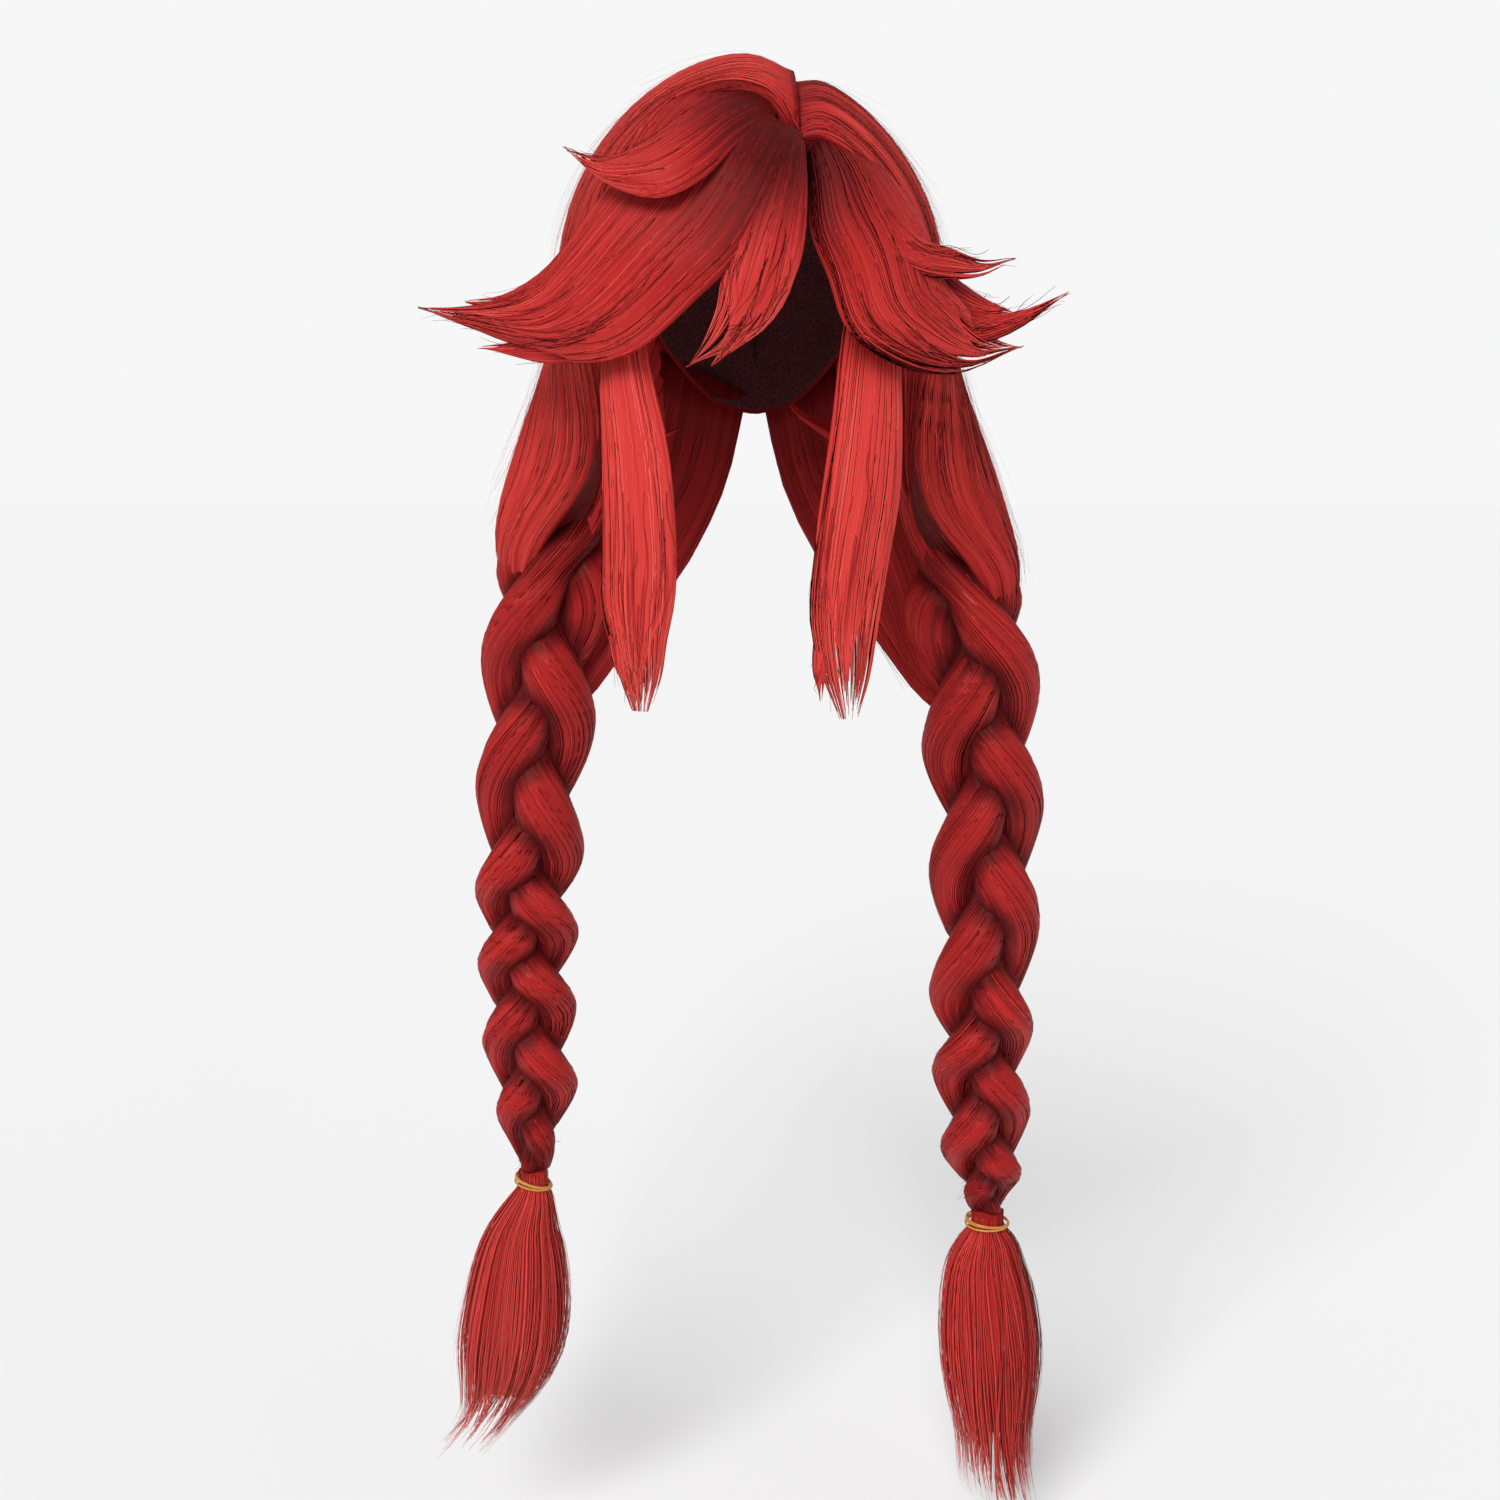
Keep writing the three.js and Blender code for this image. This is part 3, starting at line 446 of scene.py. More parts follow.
def combedPiece(name, node, shells):
    made = {}
    first = 0
    for number, shell in enumerate(shells):
        points, tone = shell["points"], shell["tone"]
        ring, steps = points.shape[:2]
        hubs = points[:, [0, -1]].mean(axis=0)
        around = np.roll(points, -1, axis=0)
        volume = (np.cross(points[:, :-1], around[:, :-1]) * points[:, 1:]).sum()
        if volume < 0:
            points, tone = points[::-1], tone[::-1]
        across, along = shellRuns(points)
        tones = np.concatenate([tone.reshape(-1), tone[:, [0, -1]].mean(axis=0)])
        gather(made, places=np.concatenate([points.reshape(-1, 3), hubs]) * mm, tones=tones)
        quads, fans = shellFaces(ring, steps, first)
        ends = (along[0] - comb["endRun"], along[-1] + comb["endRun"])
        quadRuns, fanRuns = shellCorners(across + comb["apart"] * number, along, ends)
        edge = shellStrip["side"]
        strip = (number + edge + (1 - 2 * edge) * np.linspace(0, 1, ring + 1)) / len(shells)
        rings = np.linspace(*shellStrip["rings"], steps)
        quadMaps, fanMaps = shellCorners(strip, rings, shellStrip["hubs"])
        gather(made, quads=quads, fans=fans, quadRuns=quadRuns, fanRuns=fanRuns)
        gather(made, quadMaps=quadMaps, fanMaps=fanMaps)
        first += ring * steps + 2
    runs = np.concatenate(made["quadRuns"] + made["fanRuns"])
    made["runs"] = [np.column_stack([runs, 0 * runs[:, 0]])]
    hairPiece(name, node, made, "CORNER")


# Width of a fibre along its length and the spread of its shades
taper = {"root": 0.75, "rootReach": 0.1, "tipFrom": 0.72}
shading = {
    "clumps": (6, 26),
    "ownWide": 1.2,
    "ownMiddle": 0.6,
    "tipFrom": 0.6,
    "massRun": 30,
    "massWaves": (0.5, 2),
    "roundRun": 6.3,
}


def taperOf(steps, tip):
    share = np.linspace(0, 1, steps)
    grown = taper["root"] + (1 - taper["root"]) * easeIn(share, 0, taper["rootReach"])
    return grown - (1 - tip) * easeIn(share, taper["tipFrom"], 1)


def ownTones(chance, count, most):
    return most * (np.abs(chance.normal(0, shading["ownWide"], count)) - shading["ownMiddle"])


# Shade of a fibre: its clump, its own chance, painted shade at the root, less so towards a fading edge, and
# painted light towards the tip (painted shade where that value is below zero)
def toneOf(chance, places, along, setup):
    clump = drift(chance, places, *shading["clumps"]) * setup["clumpTone"]
    base = setup["tone"] + clump + ownTones(chance, len(places), setup["ownTone"])
    kept = 1 - np.interp(places, (-1, 1), setup.get("rootFade", (0, 0)))
    rootPaintedShade = setup["rootPaintedShade"] * kept[:, None] * (1 - easeIn(along, 0, setup["rootReach"]))[None]
    tipPaintedLight = setup["tipPaintedLight"] * easeIn(along, shading["tipFrom"], 1)
    return base[:, None] - rootPaintedShade + tipPaintedLight[None]


# Broad bands of shade round a combed mass
def massTone(chance, across, look):
    return look["clumpTone"] * drift(chance, across[:-1] / shading["massRun"], *shading["massWaves"])[:, None]


# Loose single hairs that leave the mass of a batch and drift outward
stray = {
    "steps": 9,
    "width": 0.4,
    "widthSpread": (0.7, 1.2),
    "tipThin": 0.6,
    "shortest": 0.12,
    "longest": 0.45,
    "clear": 0.6,
    "lift": 10,
    "liftSpread": (0.1, 1),
    "liftBend": 1.7,
    "wander": 8,
    "wanderSpread": 0.6,
    "wanderBend": 1.5,
    "curl": 1.0,
    "curlTurns": (3, 8),
    "tone": 0.06,
}


def strayFibres(chance, batch, count, start=(0.05, 0.95), lift=1.0):
    lines, outward = batch["points"], batch["outward"]
    total, steps = lines.shape[:2]
    pick = chance.integers(0, total, count)
    span = chance.uniform(stray["shortest"], stray["longest"], count)
    begin = chance.uniform(*start, count) * (1 - span)
    t = np.linspace(0, 1, stray["steps"])
    spot = (begin[:, None] + span[:, None] * t) * (steps - 1)
    low = np.clip(spot.astype(int), 0, steps - 2)
    part = (spot - low)[..., None]
    row = pick[:, None]
    points = lines[row, low] * (1 - part) + lines[row, low + 1] * part
    facing = unit(outward[row, low] * (1 - part) + outward[row, low + 1] * part)
    most = lift * stray["lift"] * chance.uniform(*stray["liftSpread"], count)[:, None]
    rise = stray["clear"] + most * t[None] ** stray["liftBend"]
    sideways = unit(np.cross(facing, np.gradient(points, axis=1)))
    most = lift * stray["wander"] * chance.normal(0, stray["wanderSpread"], count)[:, None]
    wander = most * t[None] ** stray["wanderBend"]
    curl = chance.normal(0, stray["curl"], count)[:, None]
    curl = curl * np.sin(t[None] * chance.uniform(*stray["curlTurns"], count)[:, None])
    points = points + facing * rise[..., None] + sideways * (wander + curl)[..., None]
    width = stray["width"] * chance.uniform(*stray["widthSpread"], count)[:, None]
    width = width * (1 - stray["tipThin"] * t[None] ** 3)
    own = stray["tone"] * chance.normal(0, 1, count)[:, None]
    tone = batch["tone"][pick, 0][:, None] + own + 0 * t[None]
    return {"points": points, "outward": facing, "width": width, "tone": tone}


# Hair over the cap
seeds = {"crown": 20, "braid": 40, "nape": 60, "lock": 70, "tail": 90}
headCentre = np.array([0, 0, -100.0])
sideName = {-1: "left", 1: "right"}
crown = {
    "wide": {-1: 117, 1: 112},
    "high": {-1: 126, 1: 121},
    "power": {-1: 1.86, 1: 1.8},
    "front": 111,
    "back": 121,
    "flare": 0.16,
    "napeTuck": 0.3,
    "dip": 7,
    "dipReach": 0.1,
    "crowding": 1.15,
    "capHalf": (78, 97, 102),
    "capBite": 0.6,
    "leastHair": 9,
    "overSteps": 20,
    "hangSteps": 7,
    "tuckSteps": 7,
    "tuckSpots": 0.85,
    "settleSpot": 0.8,
    "easing": 6,
    "fall": (0.45, 0.7),
    "edgeStep": 0.04,
    "sideStep": 0.002,
    "gatherWide": 0.78,
    "gatherDeep": 0.7,
    "outerTurn": (-60, 300),
    "innerTurn": (-64, -52),
    "edgeTurn": -4,
    "splits": (-59, 95),
    "groove": 20,
    "grooveWide": 9,
    "sink": [(0.1, 0), (0.2, 0), (0.32, 0), (0.45, 0.2), (0.6, 0.8), (0.75, 2.5), (0.9, 6)],
    "ring": {"outer": 170, "inner": 40, "edge": 8},
    # Shade of each layer's fibres: a little lighter on the outer face, darker on the edge and inner faces, as
    # painted light and shade
    "layers": [
        {"face": "outer", "count": 390, "width": 1.0, "shade": 0.03},
        {"face": "edge", "count": 60, "width": 0.7, "shade": -0.04},
        {"face": "inner", "count": 50, "width": 1.0, "shade": -0.08},
    ],
    "lift": 0.05,
    "loose": 0.15,
    "ridge": 0.25,
    "ridgeWaves": (4, 16),
    "ridgeRange": (-0.8, 0.9),
    "smoothRoot": (0.02, 0.2),
    "lastShare": (0.82, 1),
    "endDive": 3,
    "endReach": (0.08, 0.06),
    "wave": 0.8,
    "waveRun": (9, 1.3),
    "waveSpeeds": (0.6, 2.2),
    "tip": 0.5,
    "strays": 320,
    # Painted shade on the inner face of the shell, half as much on its front edge
    "innerPaintedShade": 0.12,
    "sunlit": {-1: 0.02, 1: -0.03},
    # Reach of the painted shade at the roots; the tip values below zero paint shade on the lower hang
    "rootReach": {-1: 0.14, 1: 0.24},
    "tipPaintedLight": {-1: -0.02, 1: -0.11},
    # Look of the hair, with painted shade at the roots and, deeper, in the hollows where the hair splits
    # between strands
    "look": {"tone": 0.25, "clumpTone": 0.03, "ownTone": 0.07, "rootPaintedShade": 0.28,
             "hollowPaintedShade": 0.58, "hollowReach": (0.62, 0.8)},
}
# Root, middle and hem of the hair, from the front edge to the back
crownFlow = {
    -1: [
        (25, -85, -30, -20, -41, 54, -100, -66, -112),
        (24, -45, 8, -62, -46, 8, -118, -25, -116),
        (20, 15, 20, -66, 15, 6, -120, 22, -122),
        (9, 76, -8, -62, 76, -14, -98, 76, -134),
        (0, 112, -62, -34, 108, -90, -62, 98, -160),
        (0, 104, -152, -16, 98, -172, -36, 90, -192),
    ],
    1: [
        (25, -85, -30, 62, -84, -22, 100, -66, -112),
        (24, -45, 8, 80, -44, 0, 118, -25, -116),
        (20, 15, 20, 82, 15, 0, 120, 22, -122),
        (9, 76, -8, 70, 76, -18, 98, 76, -134),
        (0, 112, -62, 34, 108, -90, 62, 98, -160),
        (0, 104, -152, 16, 98, -172, 36, 90, -192),
    ],
}
# Middle and half width of each braid, a row for each notch on the outer side
braidRows = {
    -1: [
        (-119, 20, -215, 43),
        (-132, 20, -296, 40),
        (-141, 21, -377, 37),
        (-148, 22, -460, 35),
        (-151, 22, -515, 33),
        (-151, 21, -566, 31),
        (-149, 20, -623, 29),
        (-150, 20, -679, 11),
    ],
    1: [
        (123, 34, -234, 43),
        (141, 38, -314, 41),
        (151, 40, -395, 39),
        (155, 40, -478, 37),
        (155, 40, -561, 35),
        (156, 40, -619, 33),
        (159, 40, -678, 29),
        (162, 40, -718, 12.5),
    ],
}


def crownReach(way, side):
    x, y, z = way[..., 0], way[..., 1], way[..., 2]
    deep = np.where(y < 0, crown["front"], crown["back"])
    level = np.maximum(np.hypot(x / crown["wide"][side], y / deep), 1e-6)
    power = crown["power"][side]
    dome = (level ** power + (np.maximum(z, 0) / crown["high"][side]) ** power) ** (-1 / power)
    behind = np.where(y > 0, (y / np.maximum(np.hypot(x, y), 1e-6)) ** 2, 0)
    flare = crown["flare"] - (crown["flare"] + crown["napeTuck"]) * behind
    skirt = (1 + flare * -z / crown["wide"][side] / level) / level
    return np.where(z >= 0, dome, skirt)


def capReach(way):
    wide, deep, high = crown["capHalf"]
    level = np.hypot(way[..., 0] / wide, way[..., 1] / deep)
    return 1 / np.hypot(level, np.maximum(way[..., 2], 0) / high)


def fallTo(start, lead, end, steps):
    share, onward = crown["fall"]
    drop = share * np.linalg.norm(end - start, axis=-1, keepdims=True)
    first = start + lead * drop * onward
    second = end + drop * np.array([0, 0, 1])
    t = np.linspace(0, 1, steps + 1)[1:, None]
    lines = [(1 - t) ** 3, 3 * t * (1 - t) ** 2, 3 * t * t * (1 - t), t ** 3]
    knots = [start, first, second, end]
    return sum(line[None] * knot[:, None] for line, knot in zip(lines, knots))


# Braids: three strands that sway from side to side and from front to back
braid = {
    "sway": 0.42,
    "strand": 0.51,
    "depthSway": 0.32,
    "depth": 0.47,
    "bump": 0.42,
    "bumpMiddle": 0.6,
    "phase": (30, 120),
    "lead": 28,
    "roll": 50,
    "rollLag": 30,
    "neck": 10,
    "ring": 64,
    "fullWide": 14,
    "leastGroove": 0.35,
    "stepsPerCross": 14,
    "count": 90,
    "width": 0.95,
    "lift": 0.25,
    "loose": 0.15,
    "finePerCross": 12,
    "stepLength": 11,
    "leastSteps": 5,
    "leastShown": 4,
    "clumps": (4, 18),
    "hiddenBy": 1.0,
    "dive": 2.2,
    "diveDepth": (-2, 1),
    "start": 0.05,
    "topSlim": 0.45,
    "topFull": ((0.35, 0.85), (0.3, 0.85), (0.15, 0.6)),
    "topShift": (0, 30, 0),
    "topRise": (-0.1, 0.4),
    "topFade": (0.45, 1.15),
    "shadeReach": (-14, 2),
    "shadeDark": 0.45,
    "fibreShade": 0.8,
    "strays": 110,
    "strayLift": 0.8,
    "sunlit": {-1: -0.01, 1: -0.045},
    # Low tone: painted shade, as the braids hang further back from the light than the locks in front
    "look": {"tone": 0.045, "clumpTone": 0.03, "ownTone": 0.08},
}


def strandPhase(index, spot):
    first, perCross = braid["phase"]
    return np.radians(first + perCross * (spot + index))


def strandMiddle(side, index, spot):
    rows = np.array(braidRows[side], float)
    last = len(rows) - 1
    line = smoothLine(rows, spot / last)
    x, y, z, half = (line[..., i] for i in range(4))
    phase = strandPhase(index, spot)
    swell = half * (1 + braid["bump"] * (np.abs(np.sin(phase)) - braid["bumpMiddle"]))
    x = x + side * braid["sway"] * half * np.sin(phase)
    y = y - braid["depthSway"] * half * np.sin(2 * phase + math.radians(braid["lead"]))
    shift = easeIn(spot, *braid["topRise"]) * (1 - easeIn(spot, *braid["topFade"]))
    y = y + braid["topShift"][index] * shift
    return np.stack([x, y, z], axis=-1), braid["strand"] * swell, braid["depth"] * swell


# How far the hair of a strand has rolled outward as the strand swings to a side
def strandRoll(side, index, spot):
    swing = np.sin(strandPhase(index, spot) - math.radians(braid["rollLag"]))
    return side * math.radians(braid["roll"]) * swing


# Ring at the top of the braid where the hanging hair gathers
def gatherRing(side, turn):
    x, y, z, half = braidRows[side][0]
    around = np.radians(turn)
    across = x + side * crown["gatherWide"] * half * np.sin(around)
    return np.stack([across, y - crown["gatherDeep"] * half * np.cos(around), z + 0 * across], axis=-1)


# Strand that the hair at each turn of the ring joins
def joinStrand(turn):
    inFront, outside = crown["splits"]
    return np.select([turn < inFront, turn < outside], [2, 0], 1)


# How near each turn lies to a split between two strands: 1 at the split
def splitShare(turn):
    apart = np.abs(turn[:, None] - np.array(crown["splits"])[None]).min(axis=1)
    return np.exp(-((apart / crown["grooveWide"]) ** 2))


# Hair from the ring settling onto the strands, at spots down the braid
def settle(side, turn, spots):
    strand = joinStrand(turn)
    shape = (len(turn), len(spots), 3)
    points = np.zeros(shape)
    facing = np.zeros(shape)
    ring = gatherRing(side, turn)
    for index in range(3):
        mine = strand == index
        around = np.radians(turn[mine])
        middle, wide, deep = strandMiddle(side, index, np.zeros(1))
        onStrand = np.arctan2(-deep * np.cos(around), wide * side * np.sin(around))
        top = middle + tubePoints(wide, deep, onStrand)
        roll = strandRoll(side, index, spots) - strandRoll(side, index, np.zeros(1))
        way = onStrand[:, None] + roll[None]
        middle, wide, deep = strandMiddle(side, index, spots)
        skin = middle[None] + tubePoints(wide, deep, way)
        loose = 1 - easeIn(spots, 0, crown["settleSpot"])
        points[mine] = skin + (ring[mine] - top)[:, None] * loose[None, :, None]
        facing[mine] = tubeFacing(wide, deep, way)
    groove = crown["groove"] * splitShare(turn)[:, None] * easeIn(spots, 0, crown["settleSpot"])
    return points - facing * groove[..., None], facing


# Lines from the parting over the cap and down to the braid: layer 0 is the outer face and 1 the inner
def crownLines(side, shares, layer, turn):
    flow = np.array(crownFlow[side], float)
    root, middle, hem = (smoothLine(flow[:, i:i + 3], shares) - headCentre for i in (0, 3, 6))
    down = (np.linspace(0, 1, crown["overSteps"] + 1) ** crown["crowding"])[None, :, None]
    rest = 1 - down
    bend = rest ** 2 * root[:, None] + 2 * down * rest * middle[:, None] + down ** 2 * hem[:, None]
    way = unit(bend)
    dip = crown["dip"] * np.exp(-((down[..., 0] / crown["dipReach"]) ** 2))
    far = crownReach(way, side) - dip
    near = np.minimum(capReach(way) - crown["capBite"], far - crown["leastHair"])
    reach = far + (near - far) * layer[:, None]
    over = way * reach[..., None] + headCentre
    lead = unit(over[:, -1] - over[:, -2])
    hanging = fallTo(over[:, -1], lead, gatherRing(side, turn), crown["hangSteps"])
    return np.concatenate([over, hanging], axis=1)


def crownTurn(face, shares, layer):
    if face == "inner":
        start, span = crown["innerTurn"]
        return start + span * shares
    start, span = crown["outerTurn"]
    return start + span * shares + crown["edgeTurn"] * layer


def crownFace(side, face, places, spots):
    shares = 0 * places if face == "edge" else places
    layer = {"outer": 0 * places, "inner": 0 * places + 1, "edge": places}[face]

    def lines(moved):
        turn = crownTurn(face, moved, layer)
        settled, _ = settle(side, turn, spots)
        points = np.concatenate([crownLines(side, moved, layer, turn), settled], axis=1)
        for _ in range(crown["easing"]):
            eased = (points[:, :-2] + 2 * points[:, 1:-1] + points[:, 2:]) / 4
            points[:, crown["overSteps"]:-1] = eased[:, crown["overSteps"] - 1:]
        return points

    points = lines(shares)
    if face == "edge":
        facing = unit(points - lines(shares + crown["edgeStep"]))
    else:
        sideways = lines(shares + crown["sideStep"]) - lines(shares - crown["sideStep"])
        facing = unit(np.cross(sideways, np.gradient(points, axis=1)))
        over = slice(0, crown["overSteps"])
        inward = (facing[:, over] * (points[:, over] - headCentre)).sum(-1).sum(-1) < 0
        turned = inward if face == "outer" else ~inward
        facing[turned] *= -1
    _, facing[:, -len(spots):] = settle(side, crownTurn(face, shares, layer), spots)
    return points, facing


def crownLayer(side, chance, layer):
    count = layer["count"]
    places = np.sort(chance.uniform(0, 1, count))
    spots = crown["tuckSpots"] * np.arange(1, crown["tuckSteps"] + 1) / crown["tuckSteps"]
    points, facing = crownFace(side, layer["face"], places, spots)
    if layer["face"] == "inner":
        points, facing = (values[:, crown["overSteps"] // 2 + 1:] for values in (points, facing))
    steps = points.shape[1]
    along = np.linspace(0, 1, steps)
    ridge = crown["ridge"] * drift(chance, places, *crown["ridgeWaves"])
    ridge = np.clip(ridge + crown["loose"] * chance.normal(0, 1, count), *crown["ridgeRange"])
    height = crown["lift"] + ridge[:, None] * easeIn(along, *crown["smoothRoot"])[None]
    last = chance.uniform(*crown["lastShare"], count)[:, None]
    before, after = crown["endReach"]
    height = height - crown["endDive"] * easeIn(along[None], last - before, last + after)
    acrossRun, alongRun = crown["waveRun"]
    wave = drift(chance, places[:, None] * acrossRun + along[None] * alongRun, *crown["waveSpeeds"])
    sideways = unit(np.cross(facing, np.gradient(points, axis=1)))
    points = points + facing * height[..., None] + sideways * (crown["wave"] * wave)[..., None]
    width = layer["width"] * chance.uniform(*ribbon["spread"], count)[:, None]
    width = width * taperOf(steps, crown["tip"])[None]
    look = {**crown["look"], "rootReach": crown["rootReach"][side], "tipPaintedLight": crown["tipPaintedLight"][side]}
    tone = toneOf(chance, places, along, look) + layer["shade"] + crown["sunlit"][side]
    return {"points": points, "outward": facing, "width": width, "tone": tone}


# Closed ring of lines: the outer face from front to back, the inner face back again, and the front edge
def crownShell(side, chance):
    rings = crown["ring"]
    spots, sink = np.array(crown["sink"]).T
    parts = [
        crownFace(side, "outer", np.linspace(0, 1, rings["outer"]), spots),
        crownFace(side, "inner", np.linspace(1, 0, rings["inner"]), spots),
        crownFace(side, "edge", np.linspace(1, 0, rings["edge"] + 2)[1:-1], spots),
    ]
    points, facing = (np.concatenate(pair) for pair in zip(*parts))
    points[:, -len(spots):] -= facing[:, -len(spots):] * sink[None, :, None]
    across, along = shellRuns(points)
    share = np.linspace(0, 1, points.shape[1])
    grooves = combGrooves(chance, across[:-1], along)
    points = points + facing * (grooves * easeIn(share, *crown["smoothRoot"])[None])[..., None]
    look = crown["look"]
    tone = look["tone"] + crown["sunlit"][side] + massTone(chance, across, look)
    # Painted shade at the roots and, a little, on the lower hang
    tone = tone - look["rootPaintedShade"] * (1 - easeIn(share, 0, crown["rootReach"][side]))[None] + 0 * grooves
    tone = tone + crown["tipPaintedLight"][side] * easeIn(share, shading["tipFrom"], 1)[None]
    # Painted shade on the inner face, half as much on the front edge
    inner = np.repeat([0, 1, 0.5], [rings["outer"], rings["inner"], rings["edge"]])
    turn = crownTurn("outer", np.linspace(0, 1, rings["outer"]), 0)
    # Painted shade in the hollows where the hair splits between strands
    split = np.concatenate([splitShare(turn), np.zeros(rings["inner"] + rings["edge"])])
    hollow = look["hollowPaintedShade"] * split[:, None] * easeIn(share, *look["hollowReach"])[None]
    return {"points": points, "tone": tone - crown["innerPaintedShade"] * inner[:, None] - hollow}


def crownHair(side):
    chance = np.random.default_rng(seeds["crown"] + side)
    name = "crown_hair_" + sideName[side]
    combedPiece(name + "_mass", name, [crownShell(side, chance)])
    batches = [crownLayer(side, chance, layer) for layer in crown["layers"]]
    batches.append(strayFibres(chance, batches[0], crown["strays"]))
    fibrePiece(name + "_fibres", name, batches)


for side in (-1, 1):
    crownHair(side)


# How deep each point lies inside the other strands, in millimetres
def buriedBy(side, index, spot, points):
    depth = np.full(points.shape[:-1], -np.inf)
    for other in range(3):
        if other != index:
            middle, wide, deep = strandMiddle(side, other, spot)
            gap = points - middle
            share = np.hypot(gap[..., 0] / wide, gap[..., 1] / deep)
            depth = np.maximum(depth, (1 - share) * np.minimum(wide, deep))
    return depth


def visibleRuns(shown, spare):
    runs = []
    begin = None
    for i, seen in enumerate([*shown, False]):
        if seen and begin is None:
            begin = i
        if not seen and begin is not None:
            runs.append((max(begin - spare, 0), min(i + spare, len(shown))))
            begin = None
    return runs


# Darker where a strand comes from under a neighbour or goes below one
def contactShade(depth):
    return braid["shadeDark"] * easeIn(depth, *braid["shadeReach"])


def strandLines(side, index, spot, turns):
    middle, wide, deep = strandMiddle(side, index, spot)
    slim = braid["topSlim"] + (1 - braid["topSlim"]) * easeIn(spot, *braid["topFull"][index])
    wide = wide * slim
    deep = deep * slim
    swing = turns[:, None] + strandRoll(side, index, spot)[None]
    tight = np.clip(wide / braid["fullWide"], braid["leastGroove"], 1)
    return middle[None] + tubePoints(wide, deep, swing), tubeFacing(wide, deep, swing), tight


def strandShell(side, chance, index):
    last = len(braidRows[side]) - 1
    spot = np.linspace(braid["start"], last, last * braid["stepsPerCross"] + 1)
    turns = np.linspace(0, 2 * math.pi, braid["ring"] + 1)[:-1]
    skin, facing, tight = strandLines(side, index, spot, turns)
    across, along = shellRuns(skin)
    grooves = combGrooves(chance, across[:-1], along) * tight[None]
    points = skin + facing * grooves[..., None]
    tone = massTone(chance, across, braid["look"]) + braid["look"]["tone"] + braid["sunlit"][side]
    return {"points": points, "tone": tone - contactShade(buriedBy(side, index, spot, skin))}


def pickRows(rows, pick):
    whole = np.arange(len(rows))
    return np.stack([np.interp(pick, whole, rows[:, k]) for k in range(3)], axis=-1)


# Single hairs on one strand where it shows
def strandRibbons(side, chance, index, spot, bySteps):
    look = braid["look"]
    count = braid["count"]
    turns = np.sort(chance.uniform(0, 2 * math.pi, count))
    lift = braid["lift"] + braid["loose"] * chance.normal(0, 1, count)
    own = ownTones(chance, count, look["ownTone"])
    clump = look["clumpTone"] * drift(chance, turns / shading["roundRun"], *braid["clumps"])
    shade = look["tone"] + braid["sunlit"][side] + clump + own
    thick = braid["width"] * chance.uniform(*ribbon["spread"], count)
    skin, facing, tight = strandLines(side, index, spot, turns)
    depth = buriedBy(side, index, spot, skin)
    for i in range(count):
        dive = braid["dive"] * easeIn(depth[i], *braid["diveDepth"])
        line = skin[i] + facing[i] * (lift[i] * tight - dive)[:, None]
        for begin, end in visibleRuns(depth[i] < braid["hiddenBy"], 1):
            if end - begin < braid["leastShown"]:
                continue
            length = np.linalg.norm(np.diff(line[begin:end], axis=0), axis=1).sum()
            steps = max(braid["leastSteps"], int(length / braid["stepLength"]) + 1)
            pick = np.linspace(begin, end - 1, steps)
            dark = braid["fibreShade"] * contactShade(np.interp(pick, np.arange(len(spot)), depth[i]))
            dark[0] = dark[1]
            dark[-1] = dark[-2]
            gather(bySteps.setdefault(steps, {}), points=pickRows(line, pick),
                   outward=pickRows(facing[i], pick), width=np.full(steps, thick[i]), tone=shade[i] - dark)


def braidHair(side):
    chance = np.random.default_rng(seeds["braid"] + side)
    name = "braid_" + sideName[side]
    last = len(braidRows[side]) - 1
    spot = np.linspace(braid["start"], last, last * braid["finePerCross"] + 1)
    bySteps = {}
    for index in range(3):
        strandRibbons(side, chance, index, spot, bySteps)
    batches = [{key: np.array(value) for key, value in group.items()} for group in bySteps.values()]
    fullest = max(batches, key=lambda batch: len(batch["points"]) * batch["points"].shape[1])
    batches.append(strayFibres(chance, fullest, braid["strays"], lift=braid["strayLift"]))
    combedPiece(name + "_mass", name, [strandShell(side, chance, index) for index in range(3)])
    fibrePiece(name + "_fibres", name, batches)


for side in (-1, 1):
    braidHair(side)


# Shades of the locks, with painted shade at the roots and painted light at the tips; the side locks take a
# higher tone, painted light, as they hang in front in the light
fringeLook = {"clumpTone": 0.035, "ownTone": 0.07, "rootPaintedShade": 0.68, "rootReach": 0.52, "tipPaintedLight": 0.18}
flickLook = {**fringeLook, "tone": 0.155, "rootPaintedShade": 0.6, "rootReach": 0.5}
sideLook = {
    "tone": 0.305,
    "clumpTone": 0.03,
    "ownTone": 0.08,
    "rootPaintedShade": 0.3,
    "rootReach": 0.25,
    "tipPaintedLight": 0.08,
}
